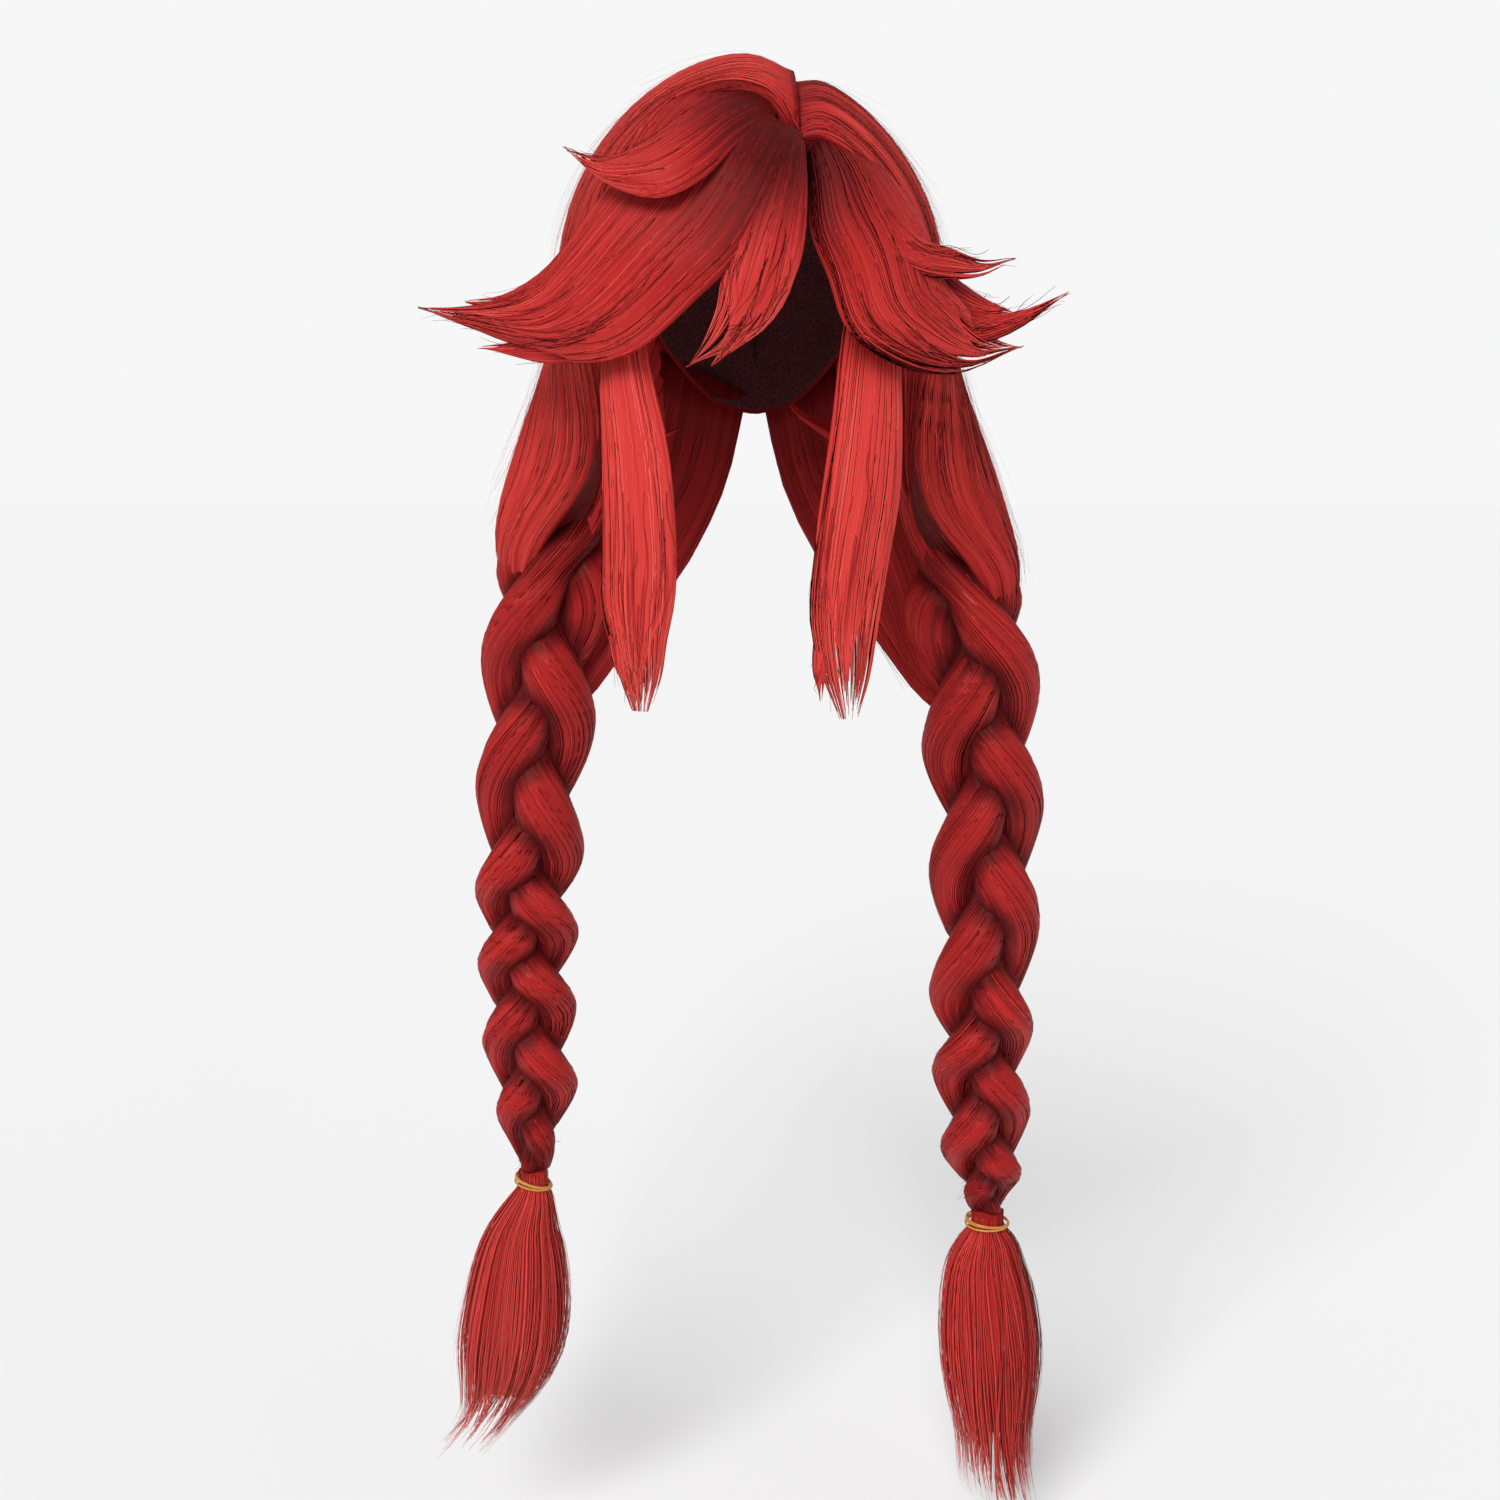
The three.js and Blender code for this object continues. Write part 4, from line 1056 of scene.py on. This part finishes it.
# Flat locks, swept between two edges: first edge, second edge, thickness and outward bow
fringeLeft = {"node": "fringe_left", "look": {**fringeLook, "tone": 0.165, "rootFade": (0.85, 0)}, "strips": [
    {"fibres": 270, "steps": 24, "wisps": 7, "shortest": 0.84, "pull": 0.7, "rows": [
        (-42, -54, -4, 26, -80, -34, 7, 3),
        (-64, -65, -27, 16, -97, -62, 10, 6),
        (-78, -64, -52, -4, -106, -98, 12, 8),
        (-92, -66, -72, -30, -107, -122, 13, 8),
        (-106, -66, -90, -66, -95, -150, 13, 7),
        (-124, -60, -110, -100, -78, -155, 11, 5),
        (-149, -52, -119, -130, -62, -146, 8, 3),
        (-172, -48, -122, -163, -52, -134, 5, 1),
        (-189, -47, -122, -188, -47, -124, 2, 0),
    ]},
    {"fibres": 60, "steps": 11, "wisps": 2, "shortest": 0.9, "pull": 0.85, "rows": [
        (-96, -64, -78, -84, -84, -112, 10, 3),
        (-118, -54, -101, -112, -68, -124, 9, 2),
        (-143, -48, -115, -140, -56, -127, 6, 1),
        (-165, -46, -118, -164, -47, -120, 2, 0),
    ]},
    {"fibres": 55, "steps": 11, "wisps": 2, "shortest": 0.9, "pull": 0.85, "rows": [
        (-84, -84, -122, -72, -92, -150, 9, 2),
        (-116, -66, -136, -108, -74, -155, 8, 1),
        (-138, -57, -142, -135, -60, -151, 5, 1),
        (-158, -53, -144, -157, -53, -146, 2, 0),
    ]},
]}
fringeTopFlick = {"node": "fringe_top_flick", "look": flickLook, "strips": [
    {"fibres": 90, "steps": 18, "wisps": 4, "shortest": 0.84, "pull": 0.6, "rows": [
        (-2, -54, -4, 12, -72, -22, 4, 1),
        (-22, -64, -10, -8, -91, -40, 6, 2),
        (-42, -75, -24, -26, -104, -60, 8, 3),
        (-60, -84, -39, -48, -107, -71, 9, 3),
        (-77, -88, -47, -71, -98, -67, 8, 2),
        (-91, -83, -45, -88, -86, -56, 5, 0),
        (-104, -73, -40, -102, -73, -41, 2, 0),
    ]},
]}
fringeCentre = {"node": "fringe_centre", "look": {**fringeLook, "tone": 0.24}, "strips": [
    {"fibres": 150, "steps": 17, "wisps": 5, "shortest": 0.84, "pull": 0.6, "rows": [
        (14, -80, -38, 27, -80, -38, 6, 1),
        (4, -93, -60, 28, -94, -64, 9, 2),
        (-10, -102, -90, 27, -102, -90, 11, 3),
        (-18, -106, -112, 23, -105, -108, 11, 3),
        (-21, -108, -128, 14, -107, -128, 9, 2),
        (-28, -109, -144, -3, -108, -145, 6, 1),
        (-35, -109, -157, -33, -109, -157, 2, 0),
    ]},
    {"fibres": 40, "steps": 9, "wisps": 2, "shortest": 0.9, "pull": 0.85, "rows": [
        (-14, -107, -126, 8, -107, -128, 8, 1),
        (-17, -108, -143, -3, -108, -144, 6, 1),
        (-24, -109, -158, -22, -109, -158, 2, 0),
    ]},
]}
fringeRightLook = {**fringeLook, "tone": 0.165, "rootFade": (0, 0.7)}
fringeRight = {"node": "fringe_right", "look": fringeRightLook, "strips": [
    {"fibres": 240, "steps": 22, "wisps": 7, "shortest": 0.84, "pull": 0.7, "rows": [
        (28, -80, -42, 46, -54, -22, 7, 2),
        (29, -94, -66, 67, -58, -42, 10, 5),
        (30, -102, -90, 83, -65, -63, 12, 7),
        (39, -105, -112, 96, -70, -86, 13, 8),
        (48, -101, -136, 104, -70, -108, 13, 7),
        (64, -93, -150, 114, -64, -118, 12, 6),
        (92, -77, -160, 126, -58, -130, 10, 4),
        (119, -63, -159, 138, -54, -139, 6, 2),
        (148, -54, -146, 149, -53, -144, 2, 0),
    ]},
    {"fibres": 55, "steps": 11, "wisps": 2, "shortest": 0.9, "pull": 0.85, "rows": [
        (92, -80, -142, 100, -70, -114, 10, 3),
        (122, -62, -145, 126, -56, -126, 8, 2),
        (152, -54, -134, 153, -51, -124, 5, 1),
        (177, -50, -116, 178, -50, -114, 2, 0),
    ]},
    {"fibres": 40, "steps": 8, "wisps": 2, "shortest": 0.9, "pull": 0.85, "rows": [
        (96, -72, -120, 102, -64, -100, 9, 2),
        (122, -58, -127, 126, -53, -115, 7, 1),
        (146, -51, -126, 146, -51, -124, 2, 0),
    ]},
]}
fringeRightUpper = {"node": "fringe_right_upper", "look": flickLook, "strips": [
    {"fibres": 90, "steps": 17, "wisps": 4, "shortest": 0.84, "pull": 0.6, "rows": [
        (38, -84, -62, 52, -62, -40, 4, 1),
        (52, -94, -82, 67, -78, -60, 7, 2),
        (67, -97, -100, 79, -86, -78, 8, 2),
        (85, -92, -108, 91, -86, -90, 8, 1),
        (108, -78, -110, 108, -75, -93, 6, 1),
        (127, -67, -107, 126, -66, -98, 4, 0),
        (144, -58, -98, 144, -58, -96, 2, 0),
    ]},
]}
sideLockLeft = {"node": "side_lock_left", "look": sideLook, "strips": [
    {"fibres": 210, "steps": 20, "wisps": 9, "shortest": 0.84, "pull": 0.3, "rows": [
        (-84, -56, -106, -62, -72, -102, 7, 1),
        (-88, -66, -156, -60, -77, -152, 11, 1),
        (-87, -74, -208, -49, -82, -203, 14, 1),
        (-87, -76, -255, -45, -82, -254, 14, 1),
        (-88, -76, -286, -46, -82, -286, 12, 1),
        (-82, -75, -318, -51, -80, -311, 9, 1),
        (-78, -75, -335, -54, -78, -331, 5, 0),
        (-73, -75, -349, -60, -76, -349, 2, 0),
    ]},
    {"fibres": 40, "steps": 9, "wisps": 2, "shortest": 0.9, "pull": 0.85, "rows": [
        (-84, -76, -274, -68, -78, -274, 3, 1),
        (-84, -75, -316, -70, -77, -316, 7, 0),
        (-75, -75, -342, -73, -75, -342, 2, 0),
    ]},
]}
sideLockRight = {"node": "side_lock_right", "look": sideLook, "strips": [
    {"fibres": 210, "steps": 20, "wisps": 9, "shortest": 0.84, "pull": 0.3, "rows": [
        (54, -75, -102, 82, -56, -106, 7, 1),
        (47, -81, -150, 82, -66, -156, 11, 1),
        (43, -83, -185, 83, -73, -192, 13, 1),
        (38, -83, -222, 82, -75, -228, 14, 1),
        (33, -83, -262, 77, -76, -262, 13, 1),
        (31, -81, -298, 72, -76, -296, 11, 1),
        (38, -78, -330, 67, -76, -330, 6, 0),
        (47, -76, -352, 61, -76, -352, 2, 0),
    ]},
    {"fibres": 40, "steps": 9, "wisps": 2, "shortest": 0.9, "pull": 0.85, "rows": [
        (36, -80, -286, 50, -79, -286, 3, 1),
        (33, -78, -324, 42, -78, -324, 6, 0),
        (37, -76, -345, 39, -76, -345, 2, 0),
    ]},
]}
# Under layer of the left; the right is its mirror image, a little further back
nape = {
    "back": {-1: 0, 1: 8},
    # Low tone: painted shade, as this hair lies under the crown hair
    "look": {
        "tone": -0.065,
        "clumpTone": 0.04,
        "ownTone": 0.035,
        "rootPaintedShade": 0.15,
        "rootReach": 0.2,
        "tipPaintedLight": 0,
    },
    "strip": {
        "fibres": 80,
        "steps": 12,
        "wisps": 8,
        "shortest": 0.95,
        "pull": 0.2,
        "shellEnd": 1,
        "shellTip": 1,
    },
}
napeRows = [
    (-62, 60, -138, -5, 80, -164, 7, 3),
    (-76, 62, -205, -18, 82, -220, 10, 3),
    (-104, 50, -250, -38, 72, -264, 12, 3),
    (-116, 44, -290, -62, 58, -300, 14, 3),
    (-112, 42, -322, -86, 44, -332, 12, 2),
    (-122, 34, -346, -106, 34, -358, 8, 0),
    (-136, 28, -368, -128, 28, -376, 5, 0),
]
lock = {
    "ring": 44,
    "tipSteps": 4,
    "shellEnd": 0.88,
    "shellTip": 0.1,
    "slimFrom": 0.5,
    "combed": 0.3,
    "fullThick": 12,
    "leastGroove": 0.15,
    "leastThick": 0.6,
    "mostLean": 0.8,
    "wayStep": 0.01,
    "share": 1.5,
    "width": 1.0,
    "tip": 0.25,
    "edge": 0.98,
    "wispEdge": 0.9,
    "longest": 1.01,
    "ragged": 0.06,
    "endRange": (0.4, 1.03),
    "outerShare": 0.62,
    "innerShare": 0.24,
    "faceDeep": 0.05,
    "pullFrom": 0.55,
    "sway": 0.025,
    "swayRun": 3,
    "swayWaves": (0.6, 2),
    "mostAcross": 0.995,
    "lift": 0.08,
    "ridge": 0.06,
    "ridgeWaves": (2, 7),
    "loose": 0.05,
    "smoothRoot": (0, 0.15),
    "strays": 0.22,
    "strayStart": (0.4, 1),
    "strayLift": 0.6,
}


def lockLines(rows, across, deep, shares):
    def middleAt(spots):
        return (smoothLine(rows[:, 0:3], spots) + smoothLine(rows[:, 3:6], spots)) / 2

    middle = middleAt(shares)
    half = smoothLine(rows[:, 3:6], shares) - middle
    build = smoothLine(rows[:, 6:8], shares)
    outward = unit(np.cross(half, middleAt(shares + lock["wayStep"]) - middleAt(shares - lock["wayStep"])))
    facing = (outward[..., :2] * middle[..., :2]).sum(-1)
    outward = outward * np.where(facing < 0, -1, 1)[..., None]
    arch = np.sqrt(1 - across ** 2)
    thick = np.maximum(build[..., 0], lock["leastThick"])
    bow = np.maximum(build[..., 1], 0)
    rise = bow * arch ** 2 + thick / 2 * arch * (1 - 2 * deep)
    points = middle + half * across[..., None] + outward * rise[..., None]
    wide = np.maximum(np.linalg.norm(half, axis=-1, keepdims=True), 1)
    lean = ((bow + thick / 2)[..., None] / wide).clip(0, lock["mostLean"]) * across[..., None]
    front = unit(outward + lean * half / wide)
    return points, np.where(deep[..., None] < 0.5, front, -outward)


def lockShell(chance, look, strip):
    rows = np.array(strip["rows"], float)
    turn = np.linspace(0, 2 * math.pi, lock["ring"] + 1)[:-1]
    shares = np.linspace(0, strip.get("shellEnd", lock["shellEnd"]), strip["steps"] + lock["tipSteps"])
    tip = strip.get("shellTip", lock["shellTip"])
    slimming = 1 - (1 - tip) * easeIn(shares, lock["slimFrom"], shares[-1])
    across = np.cos(turn)[:, None] * slimming[None]
    deep = np.where(np.sin(turn) >= 0, 0.0, 1.0)[:, None] + 0 * shares[None]
    points, facing = lockLines(rows, across, deep, shares[None] + 0 * across)
    run, along = shellRuns(points)
    thick = smoothLine(rows[:, 6:8], shares)[:, 0]
    slim = np.clip(thick / lock["fullThick"], lock["leastGroove"], 1) * easeIn(shares, *lock["smoothRoot"])
    grooves = lock["combed"] * combGrooves(chance, run[:-1], along) * slim[None]
    points = points + facing * grooves[..., None]
    tone = toneOf(chance, np.cos(turn), shares, {**look, "ownTone": 0})
    return {"points": points, "tone": tone}


def lockFibres(chance, look, strip):
    rows = np.array(strip["rows"], float)
    count = int(strip["fibres"] * lock["share"])
    steps = strip["steps"]
    place = np.sort(chance.uniform(-lock["edge"], lock["edge"], count))
    between = chance.uniform(-lock["wispEdge"], lock["wispEdge"], strip["wisps"] - 1)
    edges = np.concatenate([[-1], np.sort(between), [1]])
    wisp = np.searchsorted(edges[1:-1], place)
    wispMiddle = (edges[wisp] + edges[wisp + 1]) / 2
    wispEnd = chance.uniform(strip["shortest"], 1, strip["wisps"])[wisp]
    end = wispEnd * lock["longest"] + chance.normal(0, lock["ragged"], count)
    side = chance.uniform(0, 1, count)
    nearFace = np.abs(chance.normal(0, lock["faceDeep"], count))
    between = chance.uniform(0, 1, count)
    inside = np.where(side < lock["outerShare"] + lock["innerShare"], 1 - nearFace, between)
    deep = np.where(side < lock["outerShare"], nearFace, inside)
    along = np.linspace(0, 1, steps)
    shares = along[None] * np.clip(end, *lock["endRange"])[:, None]
    pull = strip["pull"] * easeIn(shares, lock["pullFrom"], 1)
    across = place[:, None] * (1 - pull) + wispMiddle[:, None] * pull
    sway = drift(chance, place[:, None] * lock["swayRun"] + shares, *lock["swayWaves"])
    across = np.clip(across + lock["sway"] * sway, -lock["mostAcross"], lock["mostAcross"])
    points, outward = lockLines(rows, across, deep[:, None] + 0 * shares, shares)
    ridge = lock["lift"] + lock["ridge"] * drift(chance, place, *lock["ridgeWaves"])
    ridge = ridge + lock["loose"] * chance.normal(0, 1, count)
    points = points + outward * (ridge[:, None] * easeIn(shares, *lock["smoothRoot"]))[..., None]
    width = lock["width"] * chance.uniform(*ribbon["spread"], count)[:, None]
    width = width * taperOf(steps, lock["tip"])[None]
    return {"points": points, "outward": outward, "width": width, "tone": toneOf(chance, place, along, look)}


def lockHair(setup, seed):
    chance = np.random.default_rng(seed)
    node, look, strips = setup["node"], setup["look"], setup["strips"]
    batches = []
    combedPiece(node + "_mass", node, [lockShell(chance, look, strip) for strip in strips])
    for strip in strips:
        made = lockFibres(chance, look, strip)
        count = int(strip["fibres"] * lock["strays"])
        batches += [made, strayFibres(chance, made, count, lock["strayStart"], lock["strayLift"])]
    fibrePiece(node + "_fibres", node, batches)


def napeHair(side):
    rows = np.array(napeRows, float)
    rows[:, [0, 3]] *= -side
    rows[:, [1, 4]] += nape["back"][side]
    strip = {**nape["strip"], "rows": rows}
    node = "nape_hair_" + sideName[side]
    lockHair({"node": node, "look": nape["look"], "strips": [strip]}, seeds["nape"] + side)


fringe = [fringeLeft, fringeTopFlick, fringeCentre, fringeRight, fringeRightUpper]
for number, setup in enumerate([*fringe, sideLockLeft, sideLockRight]):
    lockHair(setup, seeds["lock"] + number)
for side in (-1, 1):
    napeHair(side)


# Loose tufts below the bands: middle, half width and half depth, a row for each level
tailRows = {
    -1: [
        (-152, 19, -701, 16, 12),
        (-157, 17, -718, 24, 17),
        (-159, 15, -737, 31, 20),
        (-162, 14, -770, 37, 23),
        (-167, 13, -806, 38, 22),
        (-174, 12, -836, 30, 17),
        (-185, 12, -860, 19, 11),
        (-202, 12, -881, 3, 2),
    ],
    1: [
        (162, 39, -741, 21, 16),
        (161, 37, -756, 28, 20),
        (163, 35, -780, 34, 23),
        (166, 34, -818, 37, 24),
        (168, 33, -856, 33, 20),
        (170, 33, -888, 25, 15),
        (172, 33, -912, 15, 9),
        (176, 33, -930, 3, 2),
    ],
}
tail = {
    "ring": 60,
    "shellEnd": {-1: 0.79, 1: 0.75},
    "shellWide": 0.86,
    "shellSlim": 0.5,
    "slimFrom": 0.75,
    "grooved": (0.1, 0.3),
    # The mass beneath the loose hair is darker: painted shade
    "massPaintedShade": 0.06,
    "blunt": {-1: 19, 1: 26},
    "longest": {-1: 0.91, 1: 0.95},
    "bluntReach": (0.3, 0.6),
    "bluntLeast": 2,
    "bluntDeep": 0.7,
    "count": 900,
    "width": 0.8,
    "tip": 0.25,
    "ragged": 0.07,
    "endRange": (0.6, 1.02),
    "least": 0.3,
    "steps": 14,
    "tipSteps": 6,
    "wisps": 18,
    "shortest": 0.8,
    "pull": 0.45,
    "pullFrom": 0.5,
    "sway": 0.05,
    "swayWaves": (0.5, 2),
    "neckWide": 0.93,
    "neckDeep": 0.76,
    "neckEnds": (8, -2),
    "strays": 60,
    "strayStart": (0.4, 1),
    "strayLift": 0.7,
    "sunlit": {-1: 0.08, 1: 0.0},
    "look": {
        "tone": 0.205,
        "clumpTone": 0.03,
        "ownTone": 0.05,
        "rootPaintedShade": 0.14,
        "rootReach": 0.25,
        "tipPaintedLight": 0.18,
    },
}


def tailForm(side):
    x, y, z, half = braidRows[side][-1]
    neck = (half * tail["neckWide"], half * tail["neckDeep"])
    neckRows = [(x, y, z - braid["neck"] + end, *neck) for end in tail["neckEnds"]]
    return np.array([*neckRows, *tailRows[side]], float)


def tailShell(side, chance):
    turn = np.linspace(0, 2 * math.pi, tail["ring"] + 1)[:-1]
    shares = np.linspace(0, tail["shellEnd"][side], tail["steps"] + tail["tipSteps"])
    line = smoothLine(tailForm(side), shares)
    slim = 1 - tail["shellSlim"] * easeIn(shares / shares[-1], tail["slimFrom"], 1)
    wide, deep = (np.maximum(line[:, 3:5], tail["bluntLeast"]) * tail["shellWide"] * slim[:, None]).T
    way = turn[:, None] + 0 * shares
    points = line[None, :, :3] + tubePoints(wide, deep, way)
    across, along = shellRuns(points)
    grooves = combGrooves(chance, across[:-1], along) * easeIn(shares, *tail["grooved"])[None]
    tone = toneOf(chance, turn / shading["roundRun"], shares, {**tail["look"], "ownTone": 0})
    # Painted shade on the mass beneath the loose hair
    tone = tone - tail["massPaintedShade"] + tail["sunlit"][side]
    return {"points": points + tubeFacing(wide, deep, way) * grooves[..., None], "tone": tone}


def tailFibres(side, chance):
    rows = tailForm(side)
    count = tail["count"]
    turn = np.sort(chance.uniform(0, 2 * math.pi, count))
    wisp = np.floor(turn / (2 * math.pi) * tail["wisps"]).astype(int)
    wispTurn = (wisp + 0.5) / tail["wisps"] * 2 * math.pi
    end = chance.uniform(tail["shortest"], 1, tail["wisps"])[wisp] * tail["longest"][side]
    end = end + chance.normal(0, tail["ragged"], count)
    along = np.linspace(0, 1, tail["steps"])
    shares = along[None] * np.clip(end, *tail["endRange"])[:, None]
    out = np.sqrt(chance.uniform(tail["least"], 1, count))
    pull = tail["pull"] * easeIn(shares, tail["pullFrom"], 1)
    way = turn[:, None] * (1 - pull) + wispTurn[:, None] * pull
    way = way + tail["sway"] * drift(chance, turn[:, None] + shares, *tail["swayWaves"])
    line = smoothLine(rows, shares)
    blunt = tail["blunt"][side] * easeIn(shares, *tail["bluntReach"])
    wide = np.maximum(line[..., 3], blunt + tail["bluntLeast"])
    deep = np.maximum(line[..., 4], tail["bluntDeep"] * blunt + tail["bluntLeast"])
    points = line[..., :3] + tubePoints(wide, deep, way) * out[:, None, None]
    width = tail["width"] * chance.uniform(*ribbon["spread"], count)[:, None]
    width = width * taperOf(tail["steps"], tail["tip"])[None]
    tone = toneOf(chance, turn / shading["roundRun"], along, tail["look"]) + tail["sunlit"][side]
    return {"points": points, "outward": tubeFacing(wide, deep, way), "width": width, "tone": tone}


def tailHair(side):
    chance = np.random.default_rng(seeds["tail"] + side)
    name = "tail_" + sideName[side]
    made = tailFibres(side, chance)
    loose = strayFibres(chance, made, tail["strays"], tail["strayStart"], tail["strayLift"])
    combedPiece(name + "_mass", name, [tailShell(side, chance)])
    fibrePiece(name + "_fibres", name, [made, loose])


for side in (-1, 1):
    tailHair(side)


# Net cap with sewn rows
cap = {
    "halfWidth": 76,
    "halfDepth": 95,
    "halfHeight": 100,
    "narrowing": 0.22,
    "narrowBelow": 0.8,
    "weld": 0.00002,
    "rounding": 2,
    "rows": 8,
    "rowSteps": 72,
    "rowTurn": 361,
    "rowLevels": (0.2, 0.99),
    "rowInside": -0.8,
    "rowWide": 4.2,
    "rowTone": -0.1,
    "edgeSteps": 121,
}
net = {
    "scale": 420,
    "colours": [(0.04, (0.115, 0.014, 0.018)), (0.2, (0.028, 0.003, 0.005))],
    "bump": 0.6,
    "bumpDeep": 0.6,
    "roughness": 0.85,
}
# Edge of the cap: degrees round from the front, and level
capEdge = [(0, -58), (30, -66), (55, -104), (75, -120), (100, -98), (130, -140), (155, -170), (180, -178)]


def netFinish():
    finish, tree, shader = newFinish("stretchNet")
    place = addNode(tree, "TexCoord", {})
    mesh = addNode(tree, "TexVoronoi", {"Scale": net["scale"]})
    mesh.feature = "DISTANCE_TO_EDGE"
    ramp = addRamp(tree, net["colours"])
    bump = addNode(tree, "Bump", {"Strength": net["bump"], "Distance": net["bumpDeep"] * mm})
    bump.invert = True
    tree.links.new(place.outputs["Object"], mesh.inputs["Vector"])
    tree.links.new(mesh.outputs["Distance"], ramp.inputs["Fac"])
    tree.links.new(ramp.outputs["Color"], shader.inputs["Base Color"])
    tree.links.new(mesh.outputs["Distance"], bump.inputs["Height"])
    tree.links.new(bump.outputs["Normal"], shader.inputs["Normal"])
    setInputs(shader, {"Roughness": net["roughness"]})
    return finish


stretchNet = netFinish()


def headPoint(angle, down, offset):
    around = np.radians(angle)
    dome = np.minimum(down, 1) * math.pi / 2
    below = np.maximum(down - 1, 0)
    share = np.sin(dome) * (1 - cap["narrowing"] * (below / cap["narrowBelow"]) ** 2)
    x = (cap["halfWidth"] + offset) * share * np.sin(around)
    y = -(cap["halfDepth"] + offset) * share * np.cos(around)
    z = -cap["halfHeight"] + (cap["halfHeight"] + offset) * np.cos(dome) - below * cap["halfHeight"]
    return np.stack([x, y, z], axis=-1)


def capEdgeDown(angle):
    turned = np.abs((angle + 180) % 360 - 180)
    edge = smoothLine(np.array(capEdge, float), np.linspace(0, 1, cap["edgeSteps"]))
    rise = (np.interp(turned, edge[:, 0], edge[:, 1]) + cap["halfHeight"]) / cap["halfHeight"]
    return np.where(rise > 0, np.arccos(np.clip(rise, -1, 1)) / (math.pi / 2), 1 - rise)


def netCap():
    bpy.ops.object.select_all(action="DESELECT")
    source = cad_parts["cap"]
    source.select_set(True)
    bpy.context.view_layer.objects.active = source
    bpy.ops.object.duplicate()
    piece = bpy.context.object
    piece.name = "net_cap"
    piece.parent = None
    for key in list(piece.keys()):
        del piece[key]
    bpy.ops.object.mode_set(mode="EDIT")
    bpy.ops.mesh.select_all(action="SELECT")
    bpy.ops.mesh.remove_doubles(threshold=cap["weld"])
    bpy.ops.mesh.tris_convert_to_quads()
    bpy.ops.object.mode_set(mode="OBJECT")
    rounded = piece.modifiers.new("rounded", "SUBSURF")
    rounded.levels = cap["rounding"]
    rounded.render_levels = cap["rounding"]
    bpy.ops.object.modifier_apply(modifier=rounded.name)
    bpy.ops.object.shade_smooth()
    piece.data.materials.clear()
    piece.data.materials.append(stretchNet)
    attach(piece, "root")
    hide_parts("cap")


def sewnRows():
    angle = np.linspace(0, cap["rowTurn"], cap["rowSteps"])
    edge = capEdgeDown(angle)
    levels = np.linspace(*cap["rowLevels"], cap["rows"])
    points = np.array([headPoint(angle, edge * level, cap["rowInside"]) for level in levels])
    inward = unit(headCentre - points)
    width = np.full(points.shape[:2], cap["rowWide"])
    tone = np.full(points.shape[:2], cap["rowTone"])
    fibrePiece("sewn_rows", "cap", [{"points": points, "outward": inward, "width": width, "tone": tone}])


netCap()
sewnRows()
print("cap ready")


# Elastic bands, three turns round each neck
band = {
    "thick": 0.75,
    "room": 1.2,
    "strandRoom": 1.15,
    "clear": {-1: 0.2, 1: 1.1},
    "pitch": 1.25,
    "tilt": {-1: 14, 1: 2},
    "leans": (-3, 2, 4),
    "rolls": (2, -3, 1),
    "closer": 0.012,
    "segments": 64,
    "threadSegments": 10,
}
amber = {
    "speck": 260,
    "colours": [(0, (0.42, 0.15, 0.02)), (1, (0.66, 0.30, 0.05))],
    "roughness": 0.4,
    "glow": 0.15,
}


def amberFinish():
    finish, tree, shader = newFinish("amberElastic")
    place = addNode(tree, "TexCoord", {})
    speck = addNode(tree, "TexNoise", {"Scale": amber["speck"]})
    ramp = addRamp(tree, amber["colours"])
    tree.links.new(place.outputs["Object"], speck.inputs["Vector"])
    tree.links.new(speck.outputs["Fac"], ramp.inputs["Fac"])
    tree.links.new(ramp.outputs["Color"], shader.inputs["Base Color"])
    setInputs(shader, {"Roughness": amber["roughness"], "Subsurface Weight": amber["glow"]})
    return finish


amberElastic = amberFinish()


def elasticBand(side):
    x, y, z, half = braidRows[side][-1]
    room = band["clear"][side] + band["room"]
    wide = half * (braid["sway"] + braid["strand"] * band["strandRoom"]) + room
    deep = half * (braid["depthSway"] + braid["depth"]) + room
    turns = []
    for i, (lean, roll) in enumerate(zip(band["leans"], band["rolls"])):
        bpy.ops.object.select_all(action="DESELECT")
        bpy.ops.mesh.primitive_torus_add(
            major_radius=wide * mm,
            minor_radius=band["thick"] * mm,
            major_segments=band["segments"],
            minor_segments=band["threadSegments"],
        )
        turn = bpy.context.object
        level = (i - (len(band["leans"]) - 1) / 2) * band["pitch"]
        turn.scale = (1 - band["closer"] * i, deep / wide, 1)
        turn.rotation_euler = (math.radians(roll), math.radians(band["tilt"][side] + lean), 0)
        turn.location = (x * mm, y * mm, (z - braid["neck"] + level) * mm)
        bpy.ops.object.transform_apply(location=True, rotation=True, scale=True)
        turns.append(turn)
    bpy.ops.object.select_all(action="DESELECT")
    for turn in turns:
        turn.select_set(True)
    bpy.context.view_layer.objects.active = turns[0]
    bpy.ops.object.join()
    piece = bpy.context.object
    piece.name = "elastic_" + sideName[side]
    bpy.ops.object.shade_smooth()
    piece.data.materials.append(amberElastic)
    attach(piece, "root")
    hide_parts("tie_" + sideName[side])


for side in (-1, 1):
    elasticBand(side)
print("bands ready")
